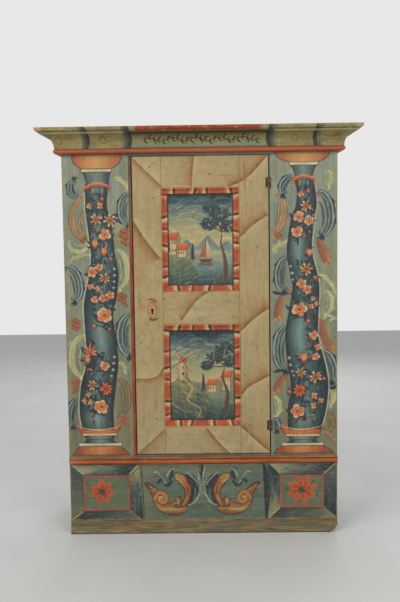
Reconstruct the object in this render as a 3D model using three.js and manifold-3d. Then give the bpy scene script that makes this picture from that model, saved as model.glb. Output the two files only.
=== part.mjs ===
// Painted one-door cupboard (kas) of pine boards: plank sides and back, two wide front boards,
// a framed door with two panels, a coved cornice, shelves inside, iron hinges and a box lock.
// Millimetres, +Z up. In the body's own frame y = 0 is the face of the front boards, y grows
// towards the back, x = 0 is the middle of the body and z = 0 is the floor.
import * as THREE from 'three';
import { mergeVertices } from 'three/addons/utils/BufferGeometryUtils.js';
import Module from 'manifold-3d';

const wasm = await Module();
wasm.setup();

// Joints and cuts
const FIT = 0.3; // gap left between two pieces that touch
const CUT_PAST = 5; // how far a cutting solid runs past the wood that it cuts

// Front, from left to right
const LEFT_BOARD_WIDTH = 291;
const JAMB_BEAD_WIDTH = 12;
const LOCK_SIDE_GAP = 3;
const LOCK_STILE_WIDTH = 126;
const PANEL_OPENING_WIDTH = 339;
const HINGE_STILE_WIDTH = 129;
const RIGHT_BOARD_WIDTH = 295;

// Front, from the floor up
const BASE_RAIL_HEIGHT = 63;
const PLINTH_BOARD_HEIGHT = 256;
const THRESHOLD_HEIGHT = 42;
const DOOR_FOOT_GAP = 3;
const BOTTOM_RAIL_HEIGHT = 126;
const LOWER_OPENING_HEIGHT = 456;
const LOCK_RAIL_HEIGHT = 148;
const UPPER_OPENING_HEIGHT = 452;
const TOP_RAIL_HEIGHT = 138;
const DOOR_HEAD_GAP = 2;
const HEAD_STRIP_HEIGHT = 11;
const NECK_BEAD_HEIGHT = 20;
const CORNICE_HEIGHT = 87;

// Depth and boards
const BODY_DEPTH = 480;
const FRONT_BOARD_THICKNESS = 28;
const SIDE_THICKNESS = 26;
const BACK_THICKNESS = 20;
const BACK_PLANKS = 4;
const BACK_FOOT_HEIGHT = 40; // the back planks stop this far above the floor
const ROOF_THICKNESS = 20;
const ROOF_RECESS = 6; // the roof boards lie this far below the cornice's top edge
const TONGUE_THICKNESS = 8;
const TONGUE_LENGTH = 9;
const LAP_LENGTH = 10; // half-lap between two back planks

// Rebated rails above and below the door
const REBATE_LIP = 12; // thickness of the lip that the door closes against
const REBATE_OVERLAP = 15; // how far the lip stands behind the door's edge
const LIP_ROOT = 14; // height of the lip's root behind the rail

// Mouldings on the front
const JAMB_BEAD_PROUD = 3;
const HEAD_STRIP_PROUD = 5;
const HEAD_STRIP_OVERHANG = 17; // its right end runs this far over the right board
const HEAD_STRIP_CHAMFER = 2;
const PLINTH_MOULDING_HEIGHT = 33;
const PLINTH_MOULDING_PROUD = 12;
const PLINTH_MOULDING_WEB = 4; // wood left between the roll's quirks and the plinth board
const PLINTH_FILLET_HEIGHT = 8;
const BASE_RAIL_PROUD = 8;
const BASE_RAIL_STEP_SHARE = 0.6; // height of its plain lower face, as a share of the rail
const BASE_RAIL_NOSE = 14; // height of the hollow above that face
const WORN_CORNER_WIDTH = 29; // the lower right corner of the base is worn away
const WORN_CORNER_HEIGHT = 27;
const WORN_CORNER_DEPTH = 68;

// Neck bead and cornice
const NECK_BEAD_PROUD = 30;
const COVE_FOOT_PROUD = 25;
const COVE_HEAD_PROUD = 81;
const COVE_HEIGHT = 63;
const CORNICE_PROUD = 97;
const CORNICE_FILLET = 4;
const CORNICE_LIP = 4;
const COVE_STEPS = 10;

// Door
const DOOR_THICKNESS = 28;
const PANEL_RECESS = 12; // from the door's face to the panel's face
const PANEL_GROOVE_WIDTH = 8;
const PANEL_GROOVE_DEPTH = 10;
const PANEL_FIELD_THICKNESS = 13;
const PANEL_BEVEL_WIDTH = 42; // bevel planed round the panel's back
const TENON_THICKNESS = 8;
const TENON_LENGTH = 70;
const TENON_SHOULDER = 18; // from a rail's edge to its tenon
const PANEL_MOULDING_WIDTH = 26;
const PANEL_MOULDING_PROUD = 2;
const PANEL_MOULDING_FILLET = 5;
const PANEL_MOULDING_TOE = 3;
const MOULDING_STEPS = 6;

// Shelves
const SHELF_COUNT = 3;
const SHELF_THICKNESS = 22;
const SHELF_SETBACK = 62; // from the front face, so that the lock and straps clear the shelves
const CLEAT_SIZE = 24;
const FLOOR_THICKNESS = 22;

// Hinges
const LEAF_THICKNESS = 2;
const KNUCKLE_RADIUS = 8;
const KNUCKLE_HEIGHT = 40; // the door's half and the case's half together
const PIN_RADIUS = 3.7;
const PIN_CLEARANCE = 0.4;
const PIN_HEAD_RADIUS = 5.5;
const PIN_HEAD_HEIGHT = 2.5;
const ROUND_SIDES = 24;
const UPPER_HINGE_DROP = 121; // from the door's top edge to the middle of the hinge
const LOWER_HINGE_RISE = 125; // from the door's foot to the middle of the hinge
const STRAP_LENGTH = 185;
const STRAP_NECK_WIDTH = 13;
const STRAP_LEAF_WIDTH = 30;
const STRAP_LEAF_LENGTH = 56;
const CASE_LEAF_LENGTH = 62;
const NOTCH_MARGIN = 8;
const NOTCH_DEPTH = 12;

// Lock
const KEYHOLE_BACKSET = 78; // from the door's edge
const KEYHOLE_RISE = 66; // from the lower edge of the lock rail
const KEYHOLE_RADIUS = 6;
const KEYHOLE_NECK_WIDTH = 6;
const KEYHOLE_FOOT_WIDTH = 10;
const KEYHOLE_FOOT_HEIGHT = 6;
const KEYHOLE_DROP = 18; // from the middle of its round head to its foot
const LOCK_EDGE_GAP = 2;
const LOCK_LENGTH = 104;
const LOCK_HEIGHT = 78;
const LOCK_DEPTH = 19;
const LOCK_WALL = 2.5;
const LOCK_FLANGE = 10;
const BOLT_HEIGHT = 14;
const BOLT_THICKNESS = 8;
const BOLT_RISE = 24; // from the keyhole's head to the bolt's middle
const BOLT_TAIL_GAP = 18; // behind the bolt's tail, inside the case
const BOLT_CLEARANCE = 0.5;
const BOLT_THROW = 28;
const GUIDE_WIDTH = 16;
const GUIDE_THICKNESS = 5;
const BOLT_ENGAGEMENT = 10; // length of the thrown bolt inside the keeper
const KEEPER_WIDTH = 16;
const KEEPER_FOOT = 14;
const KEEPER_THICKNESS = 3;
const KEEPER_CLEARANCE = 1.2;

// Levels and lines that follow from the sizes above
const HINGE_GAP = 2 * LEAF_THICKNESS + 3 * FIT;
const DOOR_WIDTH = LOCK_STILE_WIDTH + PANEL_OPENING_WIDTH + HINGE_STILE_WIDTH;
const BODY_WIDTH = LEFT_BOARD_WIDTH + JAMB_BEAD_WIDTH + LOCK_SIDE_GAP + DOOR_WIDTH + HINGE_GAP
  + RIGHT_BOARD_WIDTH;
const BODY_LEFT = -BODY_WIDTH / 2;
const BODY_RIGHT = BODY_WIDTH / 2;
const OPENING_LEFT = BODY_LEFT + LEFT_BOARD_WIDTH;
const OPENING_RIGHT = BODY_RIGHT - RIGHT_BOARD_WIDTH;
const DOOR_LEFT = OPENING_LEFT + JAMB_BEAD_WIDTH + LOCK_SIDE_GAP;
const DOOR_RIGHT = DOOR_LEFT + DOOR_WIDTH;
const PANEL_LEFT = DOOR_LEFT + LOCK_STILE_WIDTH;
const PANEL_RIGHT = PANEL_LEFT + PANEL_OPENING_WIDTH;

const PLINTH_TOP = BASE_RAIL_HEIGHT + PLINTH_BOARD_HEIGHT;
const THRESHOLD_TOP = PLINTH_TOP + THRESHOLD_HEIGHT;
const DOOR_BOTTOM = THRESHOLD_TOP + DOOR_FOOT_GAP;
const LOWER_OPENING_BOTTOM = DOOR_BOTTOM + BOTTOM_RAIL_HEIGHT;
const LOWER_OPENING_TOP = LOWER_OPENING_BOTTOM + LOWER_OPENING_HEIGHT;
const UPPER_OPENING_BOTTOM = LOWER_OPENING_TOP + LOCK_RAIL_HEIGHT;
const UPPER_OPENING_TOP = UPPER_OPENING_BOTTOM + UPPER_OPENING_HEIGHT;
const DOOR_TOP = UPPER_OPENING_TOP + TOP_RAIL_HEIGHT;
const HEAD_BOTTOM = DOOR_TOP + DOOR_HEAD_GAP;
const NECK_BEAD_BOTTOM = HEAD_BOTTOM + HEAD_STRIP_HEIGHT;
const CORNICE_BOTTOM = NECK_BEAD_BOTTOM + NECK_BEAD_HEIGHT;
const TOTAL_HEIGHT = CORNICE_BOTTOM + CORNICE_HEIGHT;
const ROOF_TOP = TOTAL_HEIGHT - ROOF_RECESS;
const ROOF_BOTTOM = ROOF_TOP - ROOF_THICKNESS;

const CASE_FRONT = FRONT_BOARD_THICKNESS + FIT; // front edge of the side planks
const BACK_FACE = BODY_DEPTH - BACK_THICKNESS; // inner face of the back planks
const CASE_BACK = BACK_FACE - FIT;
const INNER_LEFT = BODY_LEFT + SIDE_THICKNESS;
const INNER_RIGHT = BODY_RIGHT - SIDE_THICKNESS;
const DOOR_BACK = DOOR_THICKNESS;
const LIP_BACK = DOOR_THICKNESS + FIT + REBATE_LIP;
const FLOOR_TOP = DOOR_BOTTOM + REBATE_OVERLAP;
const FLOOR_BOTTOM = FLOOR_TOP - FLOOR_THICKNESS;
const HINGE_X = DOOR_RIGHT + HINGE_GAP / 2;
const UPPER_HINGE_Z = DOOR_TOP - UPPER_HINGE_DROP;
const LOWER_HINGE_Z = DOOR_BOTTOM + LOWER_HINGE_RISE;
const KEYHOLE_X = DOOR_LEFT + KEYHOLE_BACKSET;
const KEYHOLE_Z = LOWER_OPENING_TOP + KEYHOLE_RISE;

// Finishes
function paint(color, roughness, metalness = 0) {
  return new THREE.MeshStandardMaterial({ color, roughness, metalness });
}
const blueGreenPaint = paint(0x7f8f80, 0.7);
const creamPaint = paint(0xa99a6a, 0.65);
const redPaint = paint(0xb24a28, 0.65);
const mouldingPaint = paint(0xb85a3c, 0.6);
const picturePaint = paint(0x5f7f80, 0.6);
const oliveCornicePaint = paint(0x8f8f5c, 0.65);
const greyBluePaint = paint(0x7e8a88, 0.65);
const weatheredPine = paint(0x8a7a52, 0.85);
const barePine = paint(0xb0885a, 0.8);
const rustyIron = paint(0x4a3226, 0.55, 0.8);

// Outlines, as lists of [u, v] points turned into a shape
function outline(points) {
  return new THREE.Shape(points.map(([u, v]) => new THREE.Vector2(u, v)));
}

// Points of an elliptical arc about (cu, cv), from one angle to another in degrees
function arc(cu, cv, ru, rv, fromAngle, toAngle, steps) {
  return Array.from({ length: steps + 1 }, (_, i) => {
    const a = THREE.MathUtils.degToRad(fromAngle + ((toAngle - fromAngle) * i) / steps);
    return [cu + ru * Math.cos(a), cv + rv * Math.sin(a)];
  });
}

// Extrudes a shape along w = u x v, then lays its u, v and w axes along the given directions
function extrude(shape, uAxis, vAxis, length, origin) {
  const wAxis = new THREE.Vector3().crossVectors(uAxis, vAxis);
  const settings = { depth: length, bevelEnabled: false, curveSegments: MOULDING_STEPS };
  const geometry = new THREE.ExtrudeGeometry(shape, settings);
  return geometry.applyMatrix4(new THREE.Matrix4().makeBasis(uAxis, vAxis, wAxis).setPosition(origin));
}

const X = new THREE.Vector3(1, 0, 0);
const Y = new THREE.Vector3(0, 1, 0);
const Z = new THREE.Vector3(0, 0, 1);
const at = (x, y, z) => new THREE.Vector3(x, y, z);

function block([x0, x1], [y0, y1], [z0, z1]) {
  const box = new THREE.BoxGeometry(x1 - x0, y1 - y0, z1 - z0);
  return box.translate((x0 + x1) / 2, (y0 + y1) / 2, (z0 + z1) / 2);
}

// A section in the x-y plane, run up from z0 to z1
function upright(points, z0, z1) {
  return extrude(outline(points), X, Y, z1 - z0, at(0, 0, z0));
}

// A section in the y-z plane, run from x0 to x1
function lengthwise(points, x0, x1) {
  return extrude(outline(points), Y, Z, x1 - x0, at(x0, 0, 0));
}

// A face in the x-z plane, run from y1 forwards to y0
function facing(shape, y0, y1) {
  return extrude(shape, X, Z, y1 - y0, at(0, y1, 0));
}

function post(radius, x, y, z0, z1) {
  const cylinder = new THREE.CylinderGeometry(radius, radius, z1 - z0, ROUND_SIDES);
  return cylinder.rotateX(Math.PI / 2).translate(x, y, (z0 + z1) / 2);
}

// A moulding with its ends cut on a slope: its section runs outward along u and across along v.
// A slope of -1 or 1 is a mitre, and 0 is a square end.
function moulding(points, outward, across, length, origin, startSlope, endSlope) {
  const geometry = extrude(outline(points), X, Y, length, at(0, 0, 0));
  const place = geometry.getAttribute('position');
  for (let i = 0; i < place.count; i++) {
    const slope = place.getZ(i) > length / 2 ? endSlope : startSlope;
    place.setZ(i, place.getZ(i) + slope * place.getX(i));
  }
  const along = new THREE.Vector3().crossVectors(outward, across);
  return geometry.applyMatrix4(new THREE.Matrix4().makeBasis(outward, across, along).setPosition(origin));
}

// Booleans
function solid(geometry) {
  const bare = geometry.index ? geometry.toNonIndexed() : geometry.clone();
  for (const name of Object.keys(bare.attributes)) if (name !== 'position') bare.deleteAttribute(name);
  const merged = mergeVertices(bare, 1e-4);
  return new wasm.Manifold(new wasm.Mesh({
    numProp: 3,
    vertProperties: merged.attributes.position.array,
    triVerts: new Uint32Array(merged.index.array),
  }));
}

function surface(manifold) {
  const { vertProperties, triVerts } = manifold.getMesh();
  const geometry = new THREE.BufferGeometry();
  geometry.setAttribute('position', new THREE.BufferAttribute(new Float32Array(vertProperties), 3));
  geometry.setIndex(new THREE.BufferAttribute(new Uint32Array(triVerts), 1));
  geometry.computeVertexNormals();
  return geometry;
}

function join(...geometries) {
  return surface(geometries.map(solid).reduce((whole, piece) => whole.add(piece)));
}

function cut(geometry, ...tools) {
  return surface(tools.map(solid).reduce((whole, tool) => whole.subtract(tool), solid(geometry)));
}

const cupboard = new THREE.Group();
function add(name, geometry, material) {
  const mesh = new THREE.Mesh(geometry, material);
  mesh.name = name;
  cupboard.add(mesh);
}

// The worn lower right corner, cut from the base rail and the end of the side plank behind it
function wornCorner() {
  const points = [
    [BODY_RIGHT - WORN_CORNER_WIDTH, 0],
    [BODY_RIGHT, WORN_CORNER_HEIGHT],
    [BODY_RIGHT + CUT_PAST, WORN_CORNER_HEIGHT],
    [BODY_RIGHT + CUT_PAST, -CUT_PAST],
    [BODY_RIGHT - WORN_CORNER_WIDTH, -CUT_PAST],
  ];
  return facing(outline(points), -BASE_RAIL_PROUD - CUT_PAST, WORN_CORNER_DEPTH);
}

// Each side is two upright planks, the rear one tongued into the front one
function sidePlanks(side, inner, outer) {
  const middle = (CASE_FRONT + CASE_BACK) / 2;
  const low = Math.min(inner, outer);
  const high = Math.max(inner, outer);
  const centre = (low + high) / 2;
  const halfTongue = TONGUE_THICKNESS / 2;
  const grooved = [
    [low, CASE_FRONT], [high, CASE_FRONT], [high, middle - FIT / 2],
    [centre + halfTongue + FIT, middle - FIT / 2], [centre + halfTongue + FIT, middle - TONGUE_LENGTH - FIT],
    [centre - halfTongue - FIT, middle - TONGUE_LENGTH - FIT], [centre - halfTongue - FIT, middle - FIT / 2],
    [low, middle - FIT / 2],
  ];
  const tongued = [
    [low, middle + FIT / 2], [centre - halfTongue, middle + FIT / 2],
    [centre - halfTongue, middle - TONGUE_LENGTH], [centre + halfTongue, middle - TONGUE_LENGTH],
    [centre + halfTongue, middle + FIT / 2], [high, middle + FIT / 2],
    [high, CASE_BACK], [low, CASE_BACK],
  ];
  const top = ROOF_BOTTOM - FIT;
  const front = upright(grooved, 0, top);
  add(`${side}_side_front_plank`, outer > inner ? cut(front, wornCorner()) : front, blueGreenPaint);
  add(`${side}_side_rear_plank`, upright(tongued, 0, top), blueGreenPaint);
}

// The wide front boards stand on the plinth board and run up behind the cornice
function frontBoards() {
  const bottom = PLINTH_TOP + FIT;
  const left = block([BODY_LEFT, OPENING_LEFT], [0, FRONT_BOARD_THICKNESS], [bottom, ROOF_TOP]);
  add('left_front_board', left, blueGreenPaint);
  const notches = [UPPER_HINGE_Z, LOWER_HINGE_Z].map((z) => block(
    [OPENING_RIGHT - CUT_PAST, HINGE_X + KNUCKLE_RADIUS + PIN_CLEARANCE],
    [-CUT_PAST, KNUCKLE_RADIUS + PIN_CLEARANCE],
    [z - KNUCKLE_HEIGHT / 2 - PIN_CLEARANCE, z + KNUCKLE_HEIGHT / 2 + PIN_HEAD_HEIGHT + PIN_CLEARANCE],
  ));
  const right = block([OPENING_RIGHT, BODY_RIGHT], [0, FRONT_BOARD_THICKNESS], [bottom, ROOF_TOP]);
  add('right_front_board', cut(right, ...notches), blueGreenPaint);
}

// The strip with a round nose that finishes the opening on the lock side
function jambBead() {
  const left = OPENING_LEFT + FIT;
  const right = OPENING_LEFT + JAMB_BEAD_WIDTH;
  const radius = (right - left) / 2;
  const nose = arc(left + radius, radius - JAMB_BEAD_PROUD, radius, radius, 180, 360, ROUND_SIDES / 3);
  const points = [...nose, [right, FRONT_BOARD_THICKNESS], [left, FRONT_BOARD_THICKNESS]];
  add('lock_jamb_bead', upright(points, THRESHOLD_TOP + FIT, HEAD_BOTTOM - FIT), redPaint);
}

// Rails between the front boards, each with a lip behind the door that stops it
function rebatedRails() {
  const left = OPENING_LEFT + FIT;
  const right = OPENING_RIGHT - FIT;
  const lipFront = DOOR_THICKNESS + FIT;
  const head = [
    [0, HEAD_BOTTOM], [lipFront, HEAD_BOTTOM],
    [lipFront, DOOR_TOP - REBATE_OVERLAP], [LIP_BACK, DOOR_TOP - REBATE_OVERLAP],
    [LIP_BACK, HEAD_BOTTOM + LIP_ROOT], [FRONT_BOARD_THICKNESS, HEAD_BOTTOM + LIP_ROOT],
    [FRONT_BOARD_THICKNESS, ROOF_TOP], [0, ROOF_TOP],
  ];
  add('head_rail', lengthwise(head, left, right), greyBluePaint);
  const threshold = [
    [0, PLINTH_TOP + FIT], [FRONT_BOARD_THICKNESS, PLINTH_TOP + FIT],
    [FRONT_BOARD_THICKNESS, THRESHOLD_TOP - LIP_ROOT],
    [LIP_BACK, THRESHOLD_TOP - LIP_ROOT], [LIP_BACK, FLOOR_TOP], [lipFront, FLOOR_TOP],
    [lipFront, THRESHOLD_TOP], [0, THRESHOLD_TOP],
  ];
  add('threshold_rail', lengthwise(threshold, left, right), greyBluePaint);
}

// The thin strip over the door, under the neck bead
function headStrip() {
  const front = -HEAD_STRIP_PROUD - FIT;
  const points = [
    [-FIT, HEAD_BOTTOM], [-FIT, NECK_BEAD_BOTTOM - FIT], [front, NECK_BEAD_BOTTOM - FIT],
    [front, HEAD_BOTTOM + HEAD_STRIP_CHAMFER], [front + HEAD_STRIP_CHAMFER, HEAD_BOTTOM],
  ];
  const strip = lengthwise(points, OPENING_LEFT, OPENING_RIGHT + HEAD_STRIP_OVERHANG);
  add('door_head_strip', strip, greyBluePaint);
}

// Plinth board, its moulding and the base rail that the front stands on
function plinth() {
  add('plinth_board', block(
    [BODY_LEFT, BODY_RIGHT], [0, FRONT_BOARD_THICKNESS], [BASE_RAIL_HEIGHT + FIT, PLINTH_TOP],
  ), blueGreenPaint);

  const rollHeight = PLINTH_MOULDING_HEIGHT - PLINTH_FILLET_HEIGHT;
  const rollMiddle = PLINTH_TOP + rollHeight / 2;
  const web = -FIT - PLINTH_MOULDING_WEB;
  const front = -FIT - PLINTH_MOULDING_PROUD;
  const roll = arc(web, rollMiddle, web - front, rollHeight / 2, 270, 90, ROUND_SIDES / 2);
  const filletTop = PLINTH_TOP + PLINTH_MOULDING_HEIGHT;
  const points = [
    [-FIT, PLINTH_TOP], ...roll, [front, PLINTH_TOP + rollHeight], [front, filletTop], [-FIT, filletTop],
  ];
  add('plinth_moulding', lengthwise(points, BODY_LEFT, BODY_RIGHT), redPaint);

  const step = BASE_RAIL_HEIGHT * BASE_RAIL_STEP_SHARE;
  const hollowHead = step + BASE_RAIL_NOSE;
  const hollow = arc(-BASE_RAIL_PROUD, hollowHead, BASE_RAIL_PROUD, BASE_RAIL_NOSE, 360, 270, MOULDING_STEPS);
  const section = [
    [0, BASE_RAIL_HEIGHT], ...hollow, [-BASE_RAIL_PROUD, 0],
    [FRONT_BOARD_THICKNESS, 0], [FRONT_BOARD_THICKNESS, BASE_RAIL_HEIGHT],
  ];
  add('base_rail', cut(lengthwise(section, BODY_LEFT, BODY_RIGHT), wornCorner()), weatheredPine);
}

// Upright back planks; the right edge of each laps behind the left edge of the next
function backPlanks() {
  const width = BODY_WIDTH / BACK_PLANKS;
  const half = BACK_FACE + BACK_THICKNESS / 2;
  for (let i = 0; i < BACK_PLANKS; i++) {
    const left = BODY_LEFT + i * width;
    const right = left + width;
    const lapEnd = left - LAP_LENGTH + FIT;
    const leftEdge = i === 0
      ? [[left, BODY_DEPTH], [left, BACK_FACE]]
      : [[left + FIT, BODY_DEPTH], [left + FIT, half - FIT], [lapEnd, half - FIT], [lapEnd, BACK_FACE]];
    const rightEdge = i === BACK_PLANKS - 1
      ? [[right, BACK_FACE], [right, BODY_DEPTH]]
      : [[right - LAP_LENGTH, BACK_FACE], [right - LAP_LENGTH, half], [right, half], [right, BODY_DEPTH]];
    add(`back_plank_${i + 1}`, upright([...leftEdge, ...rightEdge], BACK_FOOT_HEIGHT, ROOF_TOP), barePine);
  }
}

// Inside: the floor on its cleats, the roof boards and the shelves on theirs
function floorAndRoof() {
  add('floor_board', block(
    [INNER_LEFT + FIT, INNER_RIGHT - FIT], [LIP_BACK + FIT, CASE_BACK], [FLOOR_BOTTOM, FLOOR_TOP],
  ), barePine);
  cleats('floor_cleat', FLOOR_BOTTOM);
  const middle = (CASE_FRONT + CASE_BACK) / 2;
  const length = [BODY_LEFT, BODY_RIGHT];
  const heights = [ROOF_BOTTOM, ROOF_TOP];
  add('roof_board_front', block(length, [CASE_FRONT, middle - FIT / 2], heights), barePine);
  add('roof_board_rear', block(length, [middle + FIT / 2, CASE_BACK], heights), barePine);
}

// A pair of cleats on the side planks, under the board whose underside is given
function cleats(name, underside) {
  const depth = [SHELF_SETBACK, CASE_BACK];
  const heights = [underside - FIT - CLEAT_SIZE, underside - FIT];
  add(`${name}_left`, block([INNER_LEFT + FIT, INNER_LEFT + FIT + CLEAT_SIZE], depth, heights), barePine);
  add(`${name}_right`, block([INNER_RIGHT - FIT - CLEAT_SIZE, INNER_RIGHT - FIT], depth, heights), barePine);
}

function shelves() {
  const clear = (ROOF_BOTTOM - FLOOR_TOP - SHELF_COUNT * SHELF_THICKNESS) / (SHELF_COUNT + 1);
  for (let i = 1; i <= SHELF_COUNT; i++) {
    const top = FLOOR_TOP + i * (clear + SHELF_THICKNESS);
    const span = [INNER_LEFT + FIT, INNER_RIGHT - FIT];
    add(`shelf_${i}`, block(span, [SHELF_SETBACK, CASE_BACK], [top - SHELF_THICKNESS, top]), barePine);
    cleats(`shelf_${i}_cleat`, top - SHELF_THICKNESS);
  }
}

// One moulding along the front and one down each side, mitred at the front corners
function aroundTheHead(name, points, bottom, material) {
  const mitreGap = FIT / 2;
  add(`${name}_front`, moulding(
    points, Y.clone().negate(), Z, BODY_WIDTH - 2 * mitreGap, at(BODY_RIGHT - mitreGap, 0, bottom), -1, 1,
  ), material);
  add(`${name}_left`, moulding(
    points, X.clone().negate(), Z, BODY_DEPTH - mitreGap, at(BODY_LEFT, mitreGap, bottom), -1, 0,
  ), material);
  add(`${name}_right`, moulding(
    points, X, Z, BODY_DEPTH - mitreGap, at(BODY_RIGHT, BODY_DEPTH, bottom), 0, 1,
  ), material);
}

function headMouldings() {
  const noseRadius = (NECK_BEAD_HEIGHT - FIT) / 2;
  const noseMiddle = NECK_BEAD_PROUD - noseRadius;
  const nose = arc(noseMiddle, noseRadius, noseRadius, noseRadius, -90, 90, ROUND_SIDES / 2);
  const bead = [[FIT, 0], ...nose, [FIT, 2 * noseRadius]];
  aroundTheHead('neck_bead', bead, NECK_BEAD_BOTTOM, redPaint);

  // A cove that starts upright and ends level, a fillet, and a rounded lip
  const cove = arc(COVE_HEAD_PROUD, 0, COVE_HEAD_PROUD - COVE_FOOT_PROUD, COVE_HEIGHT, 180, 90, COVE_STEPS);
  const filletTop = COVE_HEIGHT + CORNICE_FILLET;
  const lipBottom = CORNICE_HEIGHT - CORNICE_LIP;
  const lipDepth = CORNICE_PROUD - COVE_HEAD_PROUD;
  const lip = arc(COVE_HEAD_PROUD, lipBottom, lipDepth, lipBottom - filletTop, 270, 360, MOULDING_STEPS);
  const section = [[FIT, 0], ...cove, ...lip, [CORNICE_PROUD, CORNICE_HEIGHT], [FIT, CORNICE_HEIGHT]];
  aroundTheHead('cornice', section, CORNICE_BOTTOM, oliveCornicePaint);
}

// Door frame: rails tenoned into the stiles, with a groove round each opening for the panel
const RAILS = [
  { name: 'door_bottom_rail', bottom: DOOR_BOTTOM, top: LOWER_OPENING_BOTTOM, grooves: ['top'] },
  {
    name: 'door_lock_rail', bottom: LOWER_OPENING_TOP, top: UPPER_OPENING_BOTTOM,
    grooves: ['top', 'bottom'],
  },
  { name: 'door_top_rail', bottom: UPPER_OPENING_TOP, top: DOOR_TOP, grooves: ['bottom'] },
];
const PANELS = [
  { name: 'lower', bottom: LOWER_OPENING_BOTTOM, top: LOWER_OPENING_TOP },
  { name: 'upper', bottom: UPPER_OPENING_BOTTOM, top: UPPER_OPENING_TOP },
];
const GROOVE = [PANEL_RECESS, PANEL_RECESS + PANEL_GROOVE_WIDTH];
const TENON_MIDDLE = PANEL_RECESS + PANEL_GROOVE_WIDTH / 2;
const TENON = [TENON_MIDDLE - TENON_THICKNESS / 2, TENON_MIDDLE + TENON_THICKNESS / 2];
const NARROW_STILE = Math.min(LOCK_STILE_WIDTH, HINGE_STILE_WIDTH);
const TENON_RUN = Math.min(TENON_LENGTH, NARROW_STILE - 2 * TENON_SHOULDER);

// The keyhole runs through the lock stile and through the lock rail's tenon inside it
function keyholeCutter() {
  const halfNeck = KEYHOLE_NECK_WIDTH / 2;
  const halfFoot = KEYHOLE_FOOT_WIDTH / 2;
  const footBottom = KEYHOLE_Z - KEYHOLE_DROP;
  const open = THREE.MathUtils.radToDeg(Math.asin(halfNeck / KEYHOLE_RADIUS));
  const head = arc(KEYHOLE_X, KEYHOLE_Z, KEYHOLE_RADIUS, KEYHOLE_RADIUS, -90 + open, 270 - open, ROUND_SIDES);
  const shape = outline([
    ...head,
    [KEYHOLE_X - halfNeck, footBottom + KEYHOLE_FOOT_HEIGHT], [KEYHOLE_X - halfFoot, footBottom],
    [KEYHOLE_X + halfFoot, footBottom], [KEYHOLE_X + halfNeck, footBottom + KEYHOLE_FOOT_HEIGHT],
  ]);
  return facing(shape, -CUT_PAST, DOOR_THICKNESS + CUT_PAST);
}

function tenonHeights(rail) {
  return [rail.bottom + TENON_SHOULDER, rail.top - TENON_SHOULDER];
}

function doorRails() {
  for (const rail of RAILS) {
    const body = block([PANEL_LEFT + FIT, PANEL_RIGHT - FIT], [0, DOOR_THICKNESS], [rail.bottom, rail.top]);
    const tenon = block([PANEL_LEFT - TENON_RUN, PANEL_RIGHT + TENON_RUN], TENON, tenonHeights(rail));
    const tools = rail.grooves.map((edge) => {
      const heights = edge === 'top'
        ? [rail.top - PANEL_GROOVE_DEPTH, rail.top + CUT_PAST]
        : [rail.bottom - CUT_PAST, rail.bottom + PANEL_GROOVE_DEPTH];
      return block([PANEL_LEFT - CUT_PAST, PANEL_RIGHT + CUT_PAST], GROOVE, heights);
    });
    if (rail.name === 'door_lock_rail') tools.push(keyholeCutter());
    add(rail.name, cut(join(body, tenon), ...tools), creamPaint);
  }
}

// The stile's inner edge is at x = inner, and its wood lies towards sign
function stileCuts(inner, sign) {
  const span = (from, to) => (sign > 0 ? [inner + from, inner + to] : [inner - to, inner - from]);
  const grooves = PANELS.map((panel) => block(
    span(-CUT_PAST, PANEL_GROOVE_DEPTH),
    GROOVE,
    [panel.bottom - PANEL_GROOVE_DEPTH, panel.top + PANEL_GROOVE_DEPTH],
  ));
  const mortises = RAILS.map((rail) => {
    const [low, high] = tenonHeights(rail);
    return block(span(-CUT_PAST, TENON_RUN + FIT), [TENON[0] - FIT, TENON[1] + FIT], [low - FIT, high + FIT]);
  });
  return [...grooves, ...mortises];
}

function doorStiles() {
  const lockStile = block([DOOR_LEFT, PANEL_LEFT], [0, DOOR_THICKNESS], [DOOR_BOTTOM, DOOR_TOP]);
  add('door_lock_stile', cut(lockStile, ...stileCuts(PANEL_LEFT, -1), keyholeCutter()), creamPaint);
  const hingeStile = block([PANEL_RIGHT, DOOR_RIGHT], [0, DOOR_THICKNESS], [DOOR_BOTTOM, DOOR_TOP]);
  const notches = [UPPER_HINGE_Z, LOWER_HINGE_Z].map((z) => block(
    [HINGE_X - KNUCKLE_RADIUS - NOTCH_MARGIN, DOOR_RIGHT + CUT_PAST],
    [-CUT_PAST, NOTCH_DEPTH],
    [z - KNUCKLE_HEIGHT / 2 - PIN_CLEARANCE, z + KNUCKLE_HEIGHT / 2 + PIN_HEAD_HEIGHT + PIN_CLEARANCE],
  ));
  add('door_hinge_stile', cut(hingeStile, ...stileCuts(PANEL_RIGHT, 1), ...notches), creamPaint);
}

// Section of the wood planed off a panel's back along one edge: level over the tongue, from
// outer to inner, then sloping over the bevel. Inner lies towards sign from outer.
function bevelSection(outer, inner, sign) {
  const front = GROOVE[0] + FIT;
  const tongueBack = GROOVE[1] - FIT;
  const back = front + PANEL_FIELD_THICKNESS;
  const past = back + CUT_PAST;
  const edge = outer - sign * CUT_PAST;
  const end = inner + sign * PANEL_BEVEL_WIDTH;
  return [[edge, tongueBack], [inner, tongueBack], [end, back], [end, past], [edge, past]];
}

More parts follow.
